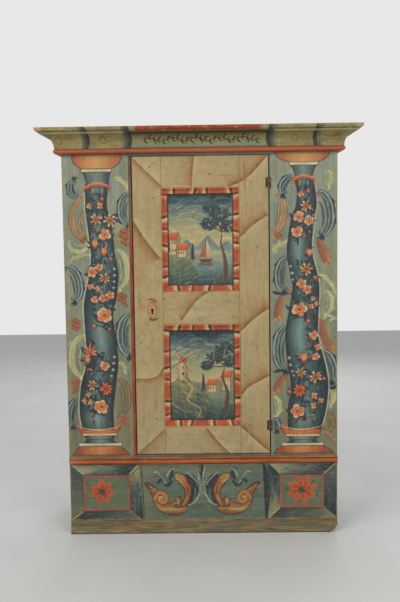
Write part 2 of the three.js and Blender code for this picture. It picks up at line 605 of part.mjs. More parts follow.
// Panels are flat in front and bevelled behind, down to a tongue that sits in the grooves
function doorPanels() {
  for (const panel of PANELS) {
    const reach = PANEL_GROOVE_DEPTH - FIT;
    const x = [PANEL_LEFT - reach, PANEL_RIGHT + reach];
    const z = [panel.bottom - reach, panel.top + reach];
    const front = GROOVE[0] + FIT;
    const pastX = [x[0] - CUT_PAST, x[1] + CUT_PAST];
    const pastZ = [z[0] - CUT_PAST, z[1] + CUT_PAST];
    const swapped = (points) => points.map(([across, depth]) => [depth, across]);
    const bevels = [
      upright(bevelSection(x[0], PANEL_LEFT, 1), ...pastZ),
      upright(bevelSection(x[1], PANEL_RIGHT, -1), ...pastZ),
      lengthwise(swapped(bevelSection(z[0], panel.bottom, 1)), ...pastX),
      lengthwise(swapped(bevelSection(z[1], panel.top, -1)), ...pastX),
    ];
    const blank = block(x, [front, front + PANEL_FIELD_THICKNESS], z);
    add(`door_${panel.name}_panel`, cut(blank, ...bevels), picturePaint);
  }
}

// Mitred moulding round each panel: u runs inwards from the opening's edge, v towards the back
function panelMouldings() {
  const toe = PANEL_MOULDING_WIDTH - PANEL_MOULDING_TOE;
  const toeFace = PANEL_RECESS - PANEL_MOULDING_TOE;
  const hollowWidth = toe - PANEL_MOULDING_FILLET;
  const curve = arc(toe, -PANEL_MOULDING_PROUD, hollowWidth, toeFace, 180, 90, MOULDING_STEPS);
  const points = [
    [FIT, -PANEL_MOULDING_PROUD], ...curve, [PANEL_MOULDING_WIDTH, toeFace],
    [PANEL_MOULDING_WIDTH, PANEL_RECESS], [FIT, PANEL_RECESS],
  ];
  const gap = FIT / 2;
  for (const { name, bottom, top } of PANELS) {
    const wide = PANEL_RIGHT - PANEL_LEFT - 2 * gap;
    const tall = top - bottom - 2 * gap;
    const sides = [
      ['top', Z.clone().negate(), wide, at(PANEL_LEFT + gap, 0, top)],
      ['right', X.clone().negate(), tall, at(PANEL_RIGHT, 0, top - gap)],
      ['bottom', Z, wide, at(PANEL_RIGHT - gap, 0, bottom)],
      ['left', X, tall, at(PANEL_LEFT, 0, bottom + gap)],
    ];
    for (const [side, inward, length, origin] of sides) {
      const piece = moulding(points, inward, Y, length, origin, 1, -1);
      add(`${name}_panel_moulding_${side}`, piece, mouldingPaint);
    }
  }
}

// Outline of a door strap in the x-z plane, from the knuckle to its leaf-shaped end
function strapShape(root, z, height) {
  const shape = new THREE.Shape();
  const tip = root - STRAP_LENGTH;
  const leafRoot = tip + STRAP_LEAF_LENGTH;
  const neck = STRAP_NECK_WIDTH / 2;
  const leaf = STRAP_LEAF_WIDTH / 2;
  const leafMiddle = tip + STRAP_LEAF_LENGTH / 2;
  const half = height / 2;
  shape.moveTo(root, z - half);
  shape.lineTo(root, z + half);
  shape.lineTo(root - height, z + half);
  shape.quadraticCurveTo(root - 2 * height, z + neck, leafRoot, z + neck);
  shape.quadraticCurveTo(leafMiddle, z + 2 * leaf - neck, tip, z);
  shape.quadraticCurveTo(leafMiddle, z - 2 * leaf + neck, leafRoot, z - neck);
  shape.quadraticCurveTo(root - 2 * height, z - neck, root - height, z - half);
  return shape;
}

// Each hinge is a strap on the door whose rolled eye turns on the pin of the case's leaf
function hinge(name, z) {
  const low = z - KNUCKLE_HEIGHT / 2;
  const high = z + KNUCKLE_HEIGHT / 2;
  const plate = [DOOR_BACK + FIT, DOOR_BACK + FIT + LEAF_THICKNESS];
  const boreRadius = PIN_RADIUS + PIN_CLEARANCE;
  const doorLeg = [DOOR_RIGHT + FIT, DOOR_RIGHT + FIT + LEAF_THICKNESS];
  const caseLeg = [OPENING_RIGHT - FIT - LEAF_THICKNESS, OPENING_RIGHT - FIT];
  const doorHeights = [z + PIN_CLEARANCE / 2, high];
  const strapHeight = doorHeights[1] - doorHeights[0];
  const doorHalf = join(
    post(KNUCKLE_RADIUS, HINGE_X, 0, ...doorHeights),
    block(doorLeg, [0, plate[1]], doorHeights),
    facing(strapShape(doorLeg[1], doorHeights[0] + strapHeight / 2, strapHeight), ...plate),
  );
  const bore = post(boreRadius, HINGE_X, 0, z - CUT_PAST, high + CUT_PAST);
  add(`${name}_door_strap`, cut(doorHalf, bore), rustyIron);
  const caseHeights = [low, z - PIN_CLEARANCE / 2];
  const caseHalf = join(
    post(KNUCKLE_RADIUS, HINGE_X, 0, ...caseHeights),
    block(caseLeg, [0, plate[1]], caseHeights),
    block([caseLeg[0], caseLeg[0] + CASE_LEAF_LENGTH], plate, caseHeights),
    post(PIN_RADIUS, HINGE_X, 0, low, high + PIN_CLEARANCE + PIN_HEAD_HEIGHT / 2),
    post(PIN_HEAD_RADIUS, HINGE_X, 0, high + PIN_CLEARANCE, high + PIN_HEAD_HEIGHT),
  );
  add(`${name}_case_leaf`, caseHalf, rustyIron);
}

// Box lock on the door's inner face: a case open towards the door, with a guide for the bolt
function lock() {
  const back = DOOR_BACK + FIT;
  const x = [DOOR_LEFT + LOCK_EDGE_GAP, DOOR_LEFT + LOCK_EDGE_GAP + LOCK_LENGTH];
  const z = [KEYHOLE_Z - LOCK_HEIGHT / 2, KEYHOLE_Z + LOCK_HEIGHT / 2];
  const y = [back, back + LOCK_DEPTH];
  const shell = block(x, y, z);
  const flange = block(x, [back, back + LOCK_WALL], [z[0] - LOCK_FLANGE, z[1] + LOCK_FLANGE]);
  const hollow = block(
    [x[0] + LOCK_WALL, x[1] - LOCK_WALL],
    [back - CUT_PAST, y[1] - LOCK_WALL],
    [z[0] + LOCK_WALL, z[1] - LOCK_WALL],
  );
  const boltMiddle = KEYHOLE_Z + BOLT_RISE;
  const boltHeights = [boltMiddle - BOLT_HEIGHT / 2, boltMiddle + BOLT_HEIGHT / 2];
  const boltBack = y[1] - LOCK_WALL - BOLT_CLEARANCE;
  const boltDepth = [boltBack - BOLT_THICKNESS, boltBack];
  const clearHeights = [boltHeights[0] - BOLT_CLEARANCE, boltHeights[1] + BOLT_CLEARANCE];
  const slot = block(
    [x[0] - CUT_PAST, x[0] + LOCK_WALL + CUT_PAST],
    [boltDepth[0] - BOLT_CLEARANCE, boltBack + BOLT_CLEARANCE],
    clearHeights,
  );
  const guideX = [x[0] + LOCK_LENGTH / 2, x[0] + LOCK_LENGTH / 2 + GUIDE_WIDTH];
  const guideDepth = [boltDepth[0] - BOLT_CLEARANCE, y[1] - LOCK_WALL + FIT];
  const guides = [
    block(guideX, guideDepth, [clearHeights[0] - GUIDE_THICKNESS, clearHeights[0]]),
    block(guideX, guideDepth, [clearHeights[1], clearHeights[1] + GUIDE_THICKNESS]),
  ];
  add('lock_case', join(cut(join(shell, flange), hollow, slot), ...guides), rustyIron);
  add('lock_bolt', block([x[0], x[1] - LOCK_WALL - BOLT_TAIL_GAP], boltDepth, boltHeights), rustyIron);

  // The keeper is a bent strap on the back of the left board, which the thrown bolt runs into
  const keeperRight = x[0] - BOLT_THROW + BOLT_ENGAGEMENT;
  const foot = FRONT_BOARD_THICKNESS + FIT;
  const inner = [boltHeights[0] - KEEPER_CLEARANCE, boltHeights[1] + KEEPER_CLEARANCE];
  const bridge = boltBack + KEEPER_CLEARANCE;
  const t = KEEPER_THICKNESS;
  const low = inner[0] - t;
  const high = inner[1] + t;
  const points = [
    [foot, low - KEEPER_FOOT], [foot + t, low - KEEPER_FOOT], [foot + t, low], [bridge + t, low],
    [bridge + t, high], [foot + t, high], [foot + t, high + KEEPER_FOOT], [foot, high + KEEPER_FOOT],
    [foot, inner[1]], [bridge, inner[1]], [bridge, inner[0]], [foot, inner[0]],
  ];
  add('lock_keeper', lengthwise(points, keeperRight - KEEPER_WIDTH, keeperRight), rustyIron);
}

sidePlanks('left', INNER_LEFT, BODY_LEFT);
sidePlanks('right', INNER_RIGHT, BODY_RIGHT);
frontBoards();
jambBead();
rebatedRails();
headStrip();
plinth();
backPlanks();
floorAndRoof();
shelves();
headMouldings();
doorRails();
doorStiles();
doorPanels();
panelMouldings();
hinge('upper_hinge', UPPER_HINGE_Z);
hinge('lower_hinge', LOWER_HINGE_Z);
lock();

// The part's origin is on the floor, under the middle of its depth with the cornice
cupboard.position.y = (CORNICE_PROUD - BODY_DEPTH) / 2;

export default cupboard;
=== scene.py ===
import math

import bpy
import numpy as np

from mathutils import Euler, Matrix, Vector


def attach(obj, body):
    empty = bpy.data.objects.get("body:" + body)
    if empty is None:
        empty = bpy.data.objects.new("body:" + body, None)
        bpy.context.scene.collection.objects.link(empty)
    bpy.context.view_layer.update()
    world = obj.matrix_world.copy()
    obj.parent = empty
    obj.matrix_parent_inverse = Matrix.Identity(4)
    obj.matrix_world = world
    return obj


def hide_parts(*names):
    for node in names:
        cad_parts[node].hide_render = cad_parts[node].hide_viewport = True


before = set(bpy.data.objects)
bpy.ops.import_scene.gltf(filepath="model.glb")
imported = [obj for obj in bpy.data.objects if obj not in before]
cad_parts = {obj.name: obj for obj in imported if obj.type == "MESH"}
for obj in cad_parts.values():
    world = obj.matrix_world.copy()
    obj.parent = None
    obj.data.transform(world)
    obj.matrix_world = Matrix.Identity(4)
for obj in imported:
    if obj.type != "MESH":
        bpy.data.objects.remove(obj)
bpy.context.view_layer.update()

# Bare pine inside and behind: back planks, roof, floor, shelves and cleats.
# Planed boards that were never painted, gone yellow-brown, with rings, knots and dirt.
# Nailed and slotted together; they keep the solids of the frame as they are.


def new_finish(name):
    """A new material, with its node tree and its main shader."""
    finish = bpy.data.materials.new(name)
    finish.use_nodes = True
    return finish, finish.node_tree, finish.node_tree.nodes["Principled BSDF"]


def put_node(tree, kind, values=None, links=None, **settings):
    """Adds a node, sets its options and sockets, and joins its inputs to other nodes' outputs."""
    made = tree.nodes.new(kind)
    for option, value in settings.items():
        setattr(made, option, value)
    for socket, value in (values or {}).items():
        made.inputs[socket].default_value = value
    for socket, source in (links or {}).items():
        tree.links.new(source, made.inputs[socket])
    return made


def ramp(tree, source, stops):
    """A colour ramp; each stop is a place and a grey or a colour."""
    made = put_node(tree, "ShaderNodeValToRGB", links={"Fac": source})
    elements = made.color_ramp.elements
    while len(elements) < len(stops):
        elements.new(0.5)
    for element, (place, tone) in zip(elements, stops):
        element.position = place
        element.color = (tone, tone, tone, 1) if isinstance(tone, (int, float)) else (*tone, 1)
    return made.outputs["Color"]


def blend_colours(tree, kind, strength, first, second):
    """Mixes two colours; the strength may be a number or another node's output."""
    made = put_node(tree, "ShaderNodeMixRGB", blend_type=kind)
    for socket, value in (("Fac", strength), ("Color1", first), ("Color2", second)):
        if isinstance(value, (int, float)):
            made.inputs[socket].default_value = value
        elif isinstance(value, tuple):
            made.inputs[socket].default_value = (*value, 1)
        else:
            tree.links.new(value, made.inputs[socket])
    return made.outputs["Color"]


def stretched(tree, along, across_scale, along_scale, shift=0.0):
    """Object coordinates drawn out along the boards, so that a pattern follows the wood."""
    place = put_node(tree, "ShaderNodeTexCoord")
    scale = [along_scale if axis == along else across_scale for axis in "XYZ"]
    return put_node(
        tree, "ShaderNodeMapping", {"Scale": scale, "Location": (shift, shift * 0.7, shift * 1.3)},
        {"Vector": place.outputs["Object"]},
    ).outputs["Vector"]


def noise(tree, vector, scale, detail=4.0, rough=0.55, twist=0.0):
    """A soft random pattern; more detail and roughness make it finer, twist warps it."""
    return put_node(
        tree, "ShaderNodeTexNoise",
        {"Scale": scale, "Detail": detail, "Roughness": rough, "Distortion": twist},
        {"Vector": vector},
    ).outputs["Fac"]


def rings(tree, along, shift):
    """The lines of the growth rings on a sawn board, from 0 to 1."""
    swell = noise(tree, stretched(tree, along, 7.0, 0.7, shift), 1.0, 2.0, 0.5, 0.6)
    wave = put_node(tree, "ShaderNodeMath", {1: 95.0}, {0: swell}, operation="MULTIPLY")
    line = put_node(tree, "ShaderNodeMath", links={0: wave.outputs[0]}, operation="SINE")
    return put_node(tree, "ShaderNodeMapRange", {1: -1.0, 2: 1.0}, {0: line.outputs[0]}).outputs[0]


def to_edge(tree, axis, middle, near, far):
    """From 0 to 1 as the distance from a middle plane goes from near to far, in metres."""
    place = put_node(tree, "ShaderNodeTexCoord")
    apart = put_node(tree, "ShaderNodeSeparateXYZ", links={0: place.outputs["Object"]})
    offset = put_node(tree, "ShaderNodeMath", {1: middle}, {0: apart.outputs[axis]}, operation="SUBTRACT")
    away = put_node(tree, "ShaderNodeMath", links={0: offset.outputs[0]}, operation="ABSOLUTE")
    return put_node(tree, "ShaderNodeMapRange", {1: near, 2: far}, {0: away.outputs[0]}).outputs[0]


def emboss(tree, shader, height, strength, distance):
    """Presses a pattern into the surface."""
    bump = put_node(tree, "ShaderNodeBump", {"Strength": strength, "Distance": distance}, {"Height": height})
    tree.links.new(bump.outputs["Normal"], shader.inputs["Normal"])


PALE_PINE, DARK_PINE = (0.40, 0.245, 0.115), (0.235, 0.125, 0.052)
RING_STOPS = [(0.25, 0.0), (0.95, 0.5)]


def bare_pine(name, along, shift, pale=PALE_PINE, dark=DARK_PINE, seams=None):
    """Planed pine with no paint; dirt lies along its seams, given as an axis, a middle and a half width."""
    finish, tree, shader = new_finish(name)
    fibres = noise(tree, stretched(tree, along, 420.0, 9.0, shift), 1.0, 3.0)
    ring_lines = rings(tree, along, shift)
    colour = blend_colours(tree, "MIX", ramp(tree, ring_lines, RING_STOPS), pale, dark)
    colour = blend_colours(tree, "MULTIPLY", 0.75, colour, ramp(tree, fibres, [(0.3, 0.62), (0.62, 1.0)]))
    patches = noise(tree, stretched(tree, along, 5.0, 2.2, shift + 3), 1.0, 6.0, 0.6)
    colour = blend_colours(tree, "MULTIPLY", 0.8, colour,
                           ramp(tree, patches, [(0.3, (0.58, 0.54, 0.5)), (0.65, 1.0)]))
    knots = put_node(
        tree, "ShaderNodeTexVoronoi", {"Scale": 1.0, "Randomness": 1.0},
        {"Vector": stretched(tree, along, 6.5, 2.6, shift + 8)},
    ).outputs["Distance"]
    colour = blend_colours(tree, "MIX", ramp(tree, knots, [(0.035, 0.85), (0.085, 0.0)]), colour,
                           (0.11, 0.05, 0.022))
    if seams:
        axis, middle, half = seams
        dirt = to_edge(tree, axis, middle, half - 0.012, half)
        colour = blend_colours(tree, "MIX", ramp(tree, dirt, [(0.0, 0.0), (0.6, 0.25), (0.9, 0.9)]), colour,
                               (0.05, 0.035, 0.022))
    tree.links.new(colour, shader.inputs["Base Color"])
    tree.links.new(ramp(tree, patches, [(0.3, 0.86), (0.7, 0.68)]), shader.inputs["Roughness"])
    height = blend_colours(tree, "MULTIPLY", 1.0, ramp(tree, fibres, [(0.3, 0.5), (0.7, 1.0)]),
                           ramp(tree, ring_lines, [(0.0, 1.0), (1.0, 0.75)]))
    emboss(tree, shader, height, 0.35, 0.0008)
    shader.inputs["Specular IOR Level"].default_value = 0.3
    return finish


def finish_node(node_name, finish):
    """Gives a solid of the frame its own finish."""
    slots = bpy.data.objects[node_name].data.materials
    slots.clear()
    slots.append(finish)


for number in range(1, 5):
    tone = 1.0 + 0.1 * (-1) ** number
    finish_node(f"back_plank_{number}", bare_pine(
        f"back plank {number} pine", "Z", number * 7.3, (0.33 * tone, 0.215 * tone, 0.11 * tone),
        (0.19, 0.11, 0.05),
        ("X", 0.3 * number - 0.75, 0.15)))
plain_boards = ["roof_board_front", "roof_board_rear", "floor_board", "shelf_1", "shelf_2", "shelf_3"]
for number, board_name in enumerate(plain_boards):
    finish_node(board_name, bare_pine(f"{board_name.replace('_', ' ')} pine", "X", 20 + number * 3.1))
cleat_pine = bare_pine("cleat pine", "Y", 41.0, (0.36, 0.22, 0.105), (0.2, 0.105, 0.045))
for under in ["floor", "shelf_1", "shelf_2", "shelf_3"]:
    finish_node(f"{under}_cleat_left", cleat_pine)
    finish_node(f"{under}_cleat_right", cleat_pine)


# Side planks: two upright pine planks a side, tongued together, in one plain coat of the
# blue-green ground colour that has gone thin, so the wood shows through along edges and fibres.


def painted_pine(name, along, coat=None, second_coat=None, wear=0.5, shift=0.0, gloss=0.56,
                 grain=0.5, inner=None):
    """Old paint on pine. With no coat it takes the picture laid on the piece as 'paint', where laid."""
    finish, tree, shader = new_finish(name)
    broad = noise(tree, stretched(tree, along, 7.0, 2.4, shift), 1.0, 6.0, 0.62)
    fine = noise(tree, stretched(tree, along, 60.0, 22.0, shift + 2), 1.0, 6.0, 0.7)
    fibres = noise(tree, stretched(tree, along, 520.0, 8.0, shift), 1.0, 3.0)
    if coat is None:
        picture = put_node(tree, "ShaderNodeAttribute", attribute_name="paint")
        colour, painted = picture.outputs["Color"], picture.outputs["Alpha"]
    else:
        colour = blend_colours(tree, "MIX", ramp(tree, broad, [(0.36, 0.0), (0.66, 1.0)]), coat, second_coat)
        painted = to_edge(tree, "X", 0.0, inner, inner + 0.001) if inner else 1.0
    ring_lines = ramp(tree, rings(tree, along, shift), RING_STOPS)
    wood = blend_colours(tree, "MIX", ring_lines, PALE_PINE, DARK_PINE)
    colour = blend_colours(tree, "MIX", painted, wood, colour)
    brushed = noise(tree, stretched(tree, along, 150.0, 3.0, shift + 5), 1.0, 2.0)
    colour = blend_colours(tree, "MULTIPLY", grain, colour, ramp(tree, brushed, [(0.32, 0.78), (0.62, 1.0)]))
    colour = blend_colours(tree, "MULTIPLY", grain, colour, ramp(tree, fibres, [(0.3, 0.66), (0.56, 1.0)]))
    colour = blend_colours(tree, "MULTIPLY", 0.6, colour,
                           ramp(tree, fine, [(0.3, (0.72, 0.66, 0.56)), (0.5, 1.0)]))
    # Crackle: short cracks across the paint film
    crackle = put_node(
        tree, "ShaderNodeTexVoronoi", {"Scale": 1.0},
        {"Vector": stretched(tree, along, 190.0, 70.0, shift + 9)}, feature="DISTANCE_TO_EDGE",
    ).outputs["Distance"]
    cracks = ramp(tree, crackle, [(0.0, 0.0), (0.07, 1.0)])
    colour = blend_colours(tree, "MULTIPLY", 0.2, colour, cracks)
    # Wear: where a coarse and a fine pattern meet, the wood shows
    worn = blend_colours(tree, "MULTIPLY", 1.0, ramp(tree, fine, [(0.56, 0.0), (0.68, 1.0)]),
                         ramp(tree, broad, [(0.5 - 0.12 * wear, 0.0), (0.68 - 0.12 * wear, 1.0)]))
    worn = blend_colours(tree, "MULTIPLY", 1.0, worn, (wear, wear, wear))
    colour = blend_colours(tree, "MIX", worn, colour, (0.27, 0.175, 0.08))
    tree.links.new(colour, shader.inputs["Base Color"])
    tree.links.new(ramp(tree, fine, [(0.3, gloss + 0.16), (0.7, gloss - 0.08)]), shader.inputs["Roughness"])
    height = blend_colours(tree, "MULTIPLY", 1.0, ramp(tree, fibres, [(0.25, 0.6), (0.7, 1.0)]), cracks)
    height = blend_colours(tree, "MULTIPLY", 0.8, height, ramp(tree, brushed, [(0.2, 0.7), (0.8, 1.0)]))
    emboss(tree, shader, height, 0.3, 0.0006)
    shader.inputs["Specular IOR Level"].default_value = 0.35
    return finish


for side, shift in (("left", 50.0), ("right", 60.0)):
    for place, extra in (("front", 0.0), ("rear", 4.0)):
        finish_node(f"{side}_side_{place}_plank", painted_pine(
            f"{side} {place} side plank paint", "Z", (0.165, 0.18, 0.122), (0.245, 0.245, 0.16),
            0.8, shift + extra, inner=0.598))


# Front boards: two wide pine boards beside the door, painted as pilasters: a swelling column wound
# with roses on a grey-green ground, between acanthus scrolls. The painting is laid on the board's
# own face, stroke by stroke. All that is painted or planed is measured in millimetres.
FRONT, SIDE, THICKNESS = -191.5, 599.95, 28
FOOT, HEAD, BOARD_TOP = 319.3, 1717, 1798
PIN_HEIGHTS = (1563, 489)
BELOW_PIN, ABOVE_PIN = 20.4, 22.9


def board(name, left, right, foot, head, face, thickness, pitch):
    """A board whose face is a grid of the given pitch, fine enough to carry a painting."""
    bpy.ops.object.select_all(action="DESELECT")
    bpy.ops.mesh.primitive_grid_add(
        x_subdivisions=round((right - left) / pitch), y_subdivisions=round((head - foot) / pitch), size=1,
        location=((left + right) / 2000, face / 1000, (foot + head) / 2000), rotation=(math.pi / 2, 0, 0),
    )
    piece = bpy.context.object
    piece.name = piece.data.name = name
    piece.scale = ((right - left) / 1000, (head - foot) / 1000, 1)
    bpy.ops.object.transform_apply()
    bpy.ops.object.mode_set(mode="EDIT")
    bpy.ops.mesh.select_mode(type="EDGE")
    bpy.ops.mesh.select_all(action="DESELECT")
    bpy.ops.mesh.select_non_manifold()
    bpy.ops.mesh.extrude_region_move(TRANSFORM_OT_translate={"value": (0, thickness / 1000, 0)})
    bpy.ops.mesh.edge_face_add()
    turn_faces_out()
    return piece


def pick_faces(piece, axis, least=0.9):
    """In edit mode, only the faces that look along an axis are selected."""
    bpy.ops.object.mode_set(mode="EDIT")
    bpy.ops.mesh.select_mode(type="FACE")
    bpy.ops.mesh.select_all(action="DESELECT")
    bpy.ops.object.mode_set(mode="OBJECT")
    for face in piece.data.polygons:
        face.select = face.normal[axis] > least
    bpy.ops.object.mode_set(mode="EDIT")


def turn_faces_out():
    """Leaves edit mode with every face looking outward."""
    bpy.ops.mesh.select_all(action="SELECT")
    bpy.ops.mesh.normals_make_consistent(inside=False)
    bpy.ops.object.mode_set(mode="OBJECT")


def cut_away(piece, low, high):
    """Cuts a box-shaped notch, such as a hinge's, out of a board. The corners are in millimetres."""
    bpy.ops.object.select_all(action="DESELECT")
    centre = [(a + b) / 2000 for a, b in zip(low, high)]
    bpy.ops.mesh.primitive_cube_add(size=1, location=centre)
    tool = bpy.context.object
    tool.scale = [(b - a) / 1000 for a, b in zip(low, high)]
    bpy.ops.object.transform_apply()
    subtract(piece, tool)


def subtract(piece, tool):
    """Cuts the tool's shape out of a piece and takes the tool away."""
    bpy.ops.object.select_all(action="DESELECT")
    piece.select_set(True)
    bpy.context.view_layer.objects.active = piece
    cutter = piece.modifiers.new("cut", "BOOLEAN")
    cutter.operation = "DIFFERENCE"
    cutter.object = tool
    bpy.ops.object.modifier_apply(modifier="cut")
    bpy.data.objects.remove(tool, do_unlink=True)


def vertices(piece):
    """The places of a piece's vertices, in millimetres."""
    places = np.empty(len(piece.data.vertices) * 3)
    piece.data.vertices.foreach_get("co", places)
    return places.reshape(-1, 3) * 1000


def spots_within(sheet, low, high):
    """The numbers of the spots between two opposite corners."""
    x, z = sheet["x"], sheet["z"]
    return np.nonzero((x > low[0]) & (x < high[0]) & (z > low[1]) & (z < high[1]))[0]


def move_vertices(piece, x, y, z):
    """Puts a piece's vertices elsewhere, in millimetres."""
    piece.data.vertices.foreach_set("co", (np.column_stack([x, y, z]) / 1000).ravel())
    piece.data.update()


def rise(value, start, end):
    """From 0 to 1 as a value goes from start to end."""
    return np.clip((value - start) / (end - start), 0, 1)


def hump(value, middle, reach):
    """1 at the middle, falling to 0 within reach to either side."""
    return np.clip(1 - np.abs(value - middle) / reach, 0, 1)


def patches(x, z, size_x, size_z, seed):
    """Soft random patches from 0 to 1, of the given size in millimetres."""
    chance = np.random.default_rng(seed)
    octaves, table_size = 3, 4096
    total = np.zeros_like(x)
    for octave in range(octaves):
        # Shifted so far that no cell's number is negative
        u = x / size_x * 2 ** octave + 911.0
        v = z / size_z * 2 ** octave + 877.0
        i, j = np.floor(u).astype(int), np.floor(v).astype(int)
        fu, fv = u - i, v - j
        fu, fv = fu * fu * (3 - 2 * fu), fv * fv * (3 - 2 * fv)
        table = chance.random(table_size)
        corner = [[table[((i + a) * 57 + (j + b) * 131) % table_size] for b in (0, 1)] for a in (0, 1)]
        low = corner[0][0] * (1 - fu) + corner[1][0] * fu
        high = corner[0][1] * (1 - fu) + corner[1][1] * fu
        total += (low * (1 - fv) + high * fv) / 2 ** octave
    shares = 2 - 2 ** (1 - octaves)
    return np.clip(total / shares * 1.6 - 0.3, 0, 1)


def from_edges(x, z, box):
    """How far each spot lies from the nearest edge of a board."""
    left, right, foot, head = box
    return np.minimum(np.minimum(x - left, right - x), np.minimum(z - foot, head - z))


def weather(piece, face, box, along="Z", hollow=0.5, seed=1):
    """Hand-planed surface: slight hollows, raised grain, and arrises rounded by use."""
    places = vertices(piece)
    x, y, z = places.T
    front = y < face + 0.5
    edge = from_edges(x, z, box)
    long_size, short_size = 320.0, 34.0
    sizes = (short_size, long_size) if along == "Z" else (long_size, short_size)
    depth = hollow * patches(x, z, *sizes, seed) + 0.25 * patches(x, z, sizes[0] / 5, sizes[1] / 5, seed + 7)
    depth += np.where(edge < 1.2, 0.7 + 0.9 * patches(x, z, 18, 26, seed + 3), 0)
    move_vertices(piece, x, y + np.where(front, depth, 0), z)


def mottle(sheet, *coats):
    """Thin uneven coats, each a colour, strength, patch width and height, seed, and how patchy."""
    for colour, strength, wide, high, seed, power in coats:
        wash(sheet, colour, strength * patches(sheet["x"], sheet["z"], wide, high, seed) ** power)


def put_up(piece, sheet, depth, finish, node_name, body="case"):
    """Lays the picture on the piece, which then takes the place of its plain node."""
    lay_paint(piece, sheet, depth)
    piece.data.materials.append(finish)
    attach(piece, body)
    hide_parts(node_name)


def sheet_on(piece):
    """A sheet to paint on: one spot of colour for every vertex, seen from the front."""
    x, _, z = vertices(piece).T
    return {"x": x.copy(), "z": z.copy(), "paint": np.zeros((len(x), 3))}


def lay_paint(piece, sheet, depth=200.0):
    """Fixes the finished picture to the piece's vertices, in linear light, as deep as it was laid."""
    y = vertices(piece)[:, 1]
    laid = (y < y.min() + depth).astype(float)
    tone = np.clip(sheet["paint"] / 255.0, 0, 1)
    linear = np.where(tone <= 0.04045, tone / 12.92, ((tone + 0.055) / 1.055) ** 2.4)
    layer = piece.data.color_attributes.new("paint", "FLOAT_COLOR", "POINT")
    layer.data.foreach_set("color", np.column_stack([linear, laid]).ravel())


def wash(sheet, colour, strength):
    """Lays a thin coat over everything; the colour and the strength may differ from spot to spot."""
    lay(sheet, slice(None), colour, np.broadcast_to(strength, sheet["x"].shape))


def lay(sheet, near, tone, cover):
    """Lays paint on some of the spots, as thickly as each is covered."""
    sheet["paint"][near] += (np.array(tone, float) - sheet["paint"][near]) * cover[:, None]


def any_angle(chance):
    """A random direction."""
    return chance.random() * 2 * math.pi


def smooth_path(points, step=5.0):
    """A smooth run of points through the given ones."""
    p = np.array(points, float)
    if len(p) == 2:
        p = np.array([p[0], (p[0] + p[1]) / 2, p[1]])
    ends = np.vstack([2 * p[0] - p[1], p, 2 * p[-1] - p[-2]])
    run = []
    for a, b, c, d in zip(ends, ends[1:], ends[2:], ends[3:]):
        count = max(2, int(np.linalg.norm(c - b) / step))
        t = np.linspace(0, 1, count, endpoint=False)[:, None]
        bend, twist = 2 * a - 5 * b + 4 * c - d, 3 * b - a - 3 * c + d
        run.append(b + 0.5 * ((c - a) * t + bend * t ** 2 + twist * t ** 3))
    return np.vstack(run + [p[-1:]])


# How broad a stroke is from its start to its end, as a share of the brush
STROKE_FORMS = {
    "line": [(0, 1), (1, 1)],
    "leaf": [(0, 0.12), (0.35, 1), (0.7, 0.8), (1, 0.08)],
    "comma": [(0, 0.75), (0.18, 1), (0.55, 0.62), (1, 0.1)],
    "swell": [(0, 0.35), (0.2, 0.85), (0.5, 1), (0.8, 0.8), (1, 0.3)],
}


def nearest_on(x, z, path, half=1.0):
    """For each spot: its distance from a path in half widths, its side, and how far along it lies."""
    start, leg = path[:-1], np.diff(path, axis=0)
    length = np.maximum(np.hypot(*leg.T), 1e-3)
    half = np.broadcast_to(half, len(path))
    to_x, to_z = x[:, None] - start[:, 0], z[:, None] - start[:, 1]
    along = np.clip((to_x * leg[:, 0] + to_z * leg[:, 1]) / length ** 2, 0, 1)
    off_x, off_z = to_x - along * leg[:, 0], to_z - along * leg[:, 1]
    away = np.hypot(off_x, off_z) / (half[:-1] + along * np.diff(half))
    best = away.argmin(1)
    rows = np.arange(len(x))
    side = np.sign(leg[best, 0] * off_z[rows, best] - leg[best, 1] * off_x[rows, best])
    run = np.concatenate([[0], np.cumsum(length)])
    return away[rows, best], side, run[best] + along[rows, best] * length[best]


def brush(sheet, path, width, colour, form="leaf", soft=0.35, load=1.0, streaks=0.16):
    """One stroke of a round brush: it swells and tapers by its form, with the marks of the bristles."""
    path = smooth_path(path)
    run = np.concatenate([[0], np.cumsum(np.hypot(*np.diff(path, axis=0).T))])
    half = np.maximum(width / 2 * np.interp(run / max(run[-1], 1e-6), *zip(*STROKE_FORMS[form])), 0.9)
    near = spots_within(sheet, path.min(0) - width / 2 - 2, path.max(0) + width / 2 + 2)
    if not len(near):
        return
    away, side, _ = nearest_on(sheet["x"][near], sheet["z"][near], path, half)
    cover = np.clip((1.15 - away) / soft, 0, 1) * load
    across = side * away
    bristle = np.sin(across * 9.0 + path[0, 0]) * np.sin(across * 23.0 + path[0, 1]) * streaks
    lay(sheet, near, np.array(colour, float) * (1 + bristle)[:, None], cover)


def blot(sheet, x, z, wide, high, colour, soft=0.3, load=1.0, turn=0.0):
    """A round or oval dab; its sizes are radii."""
    dx, dz = sheet["x"] - x, sheet["z"] - z
    reach = max(wide, high) * 1.3
    near = np.nonzero((abs(dx) < reach) & (abs(dz) < reach))[0]
    c, s = math.cos(turn), math.sin(turn)
    u = (dx[near] * c + dz[near] * s) / wide
    v = (dz[near] * c - dx[near] * s) / high
    cover = np.clip((1.1 - np.hypot(u, v)) / soft, 0, 1) * load
    lay(sheet, near, colour, cover)


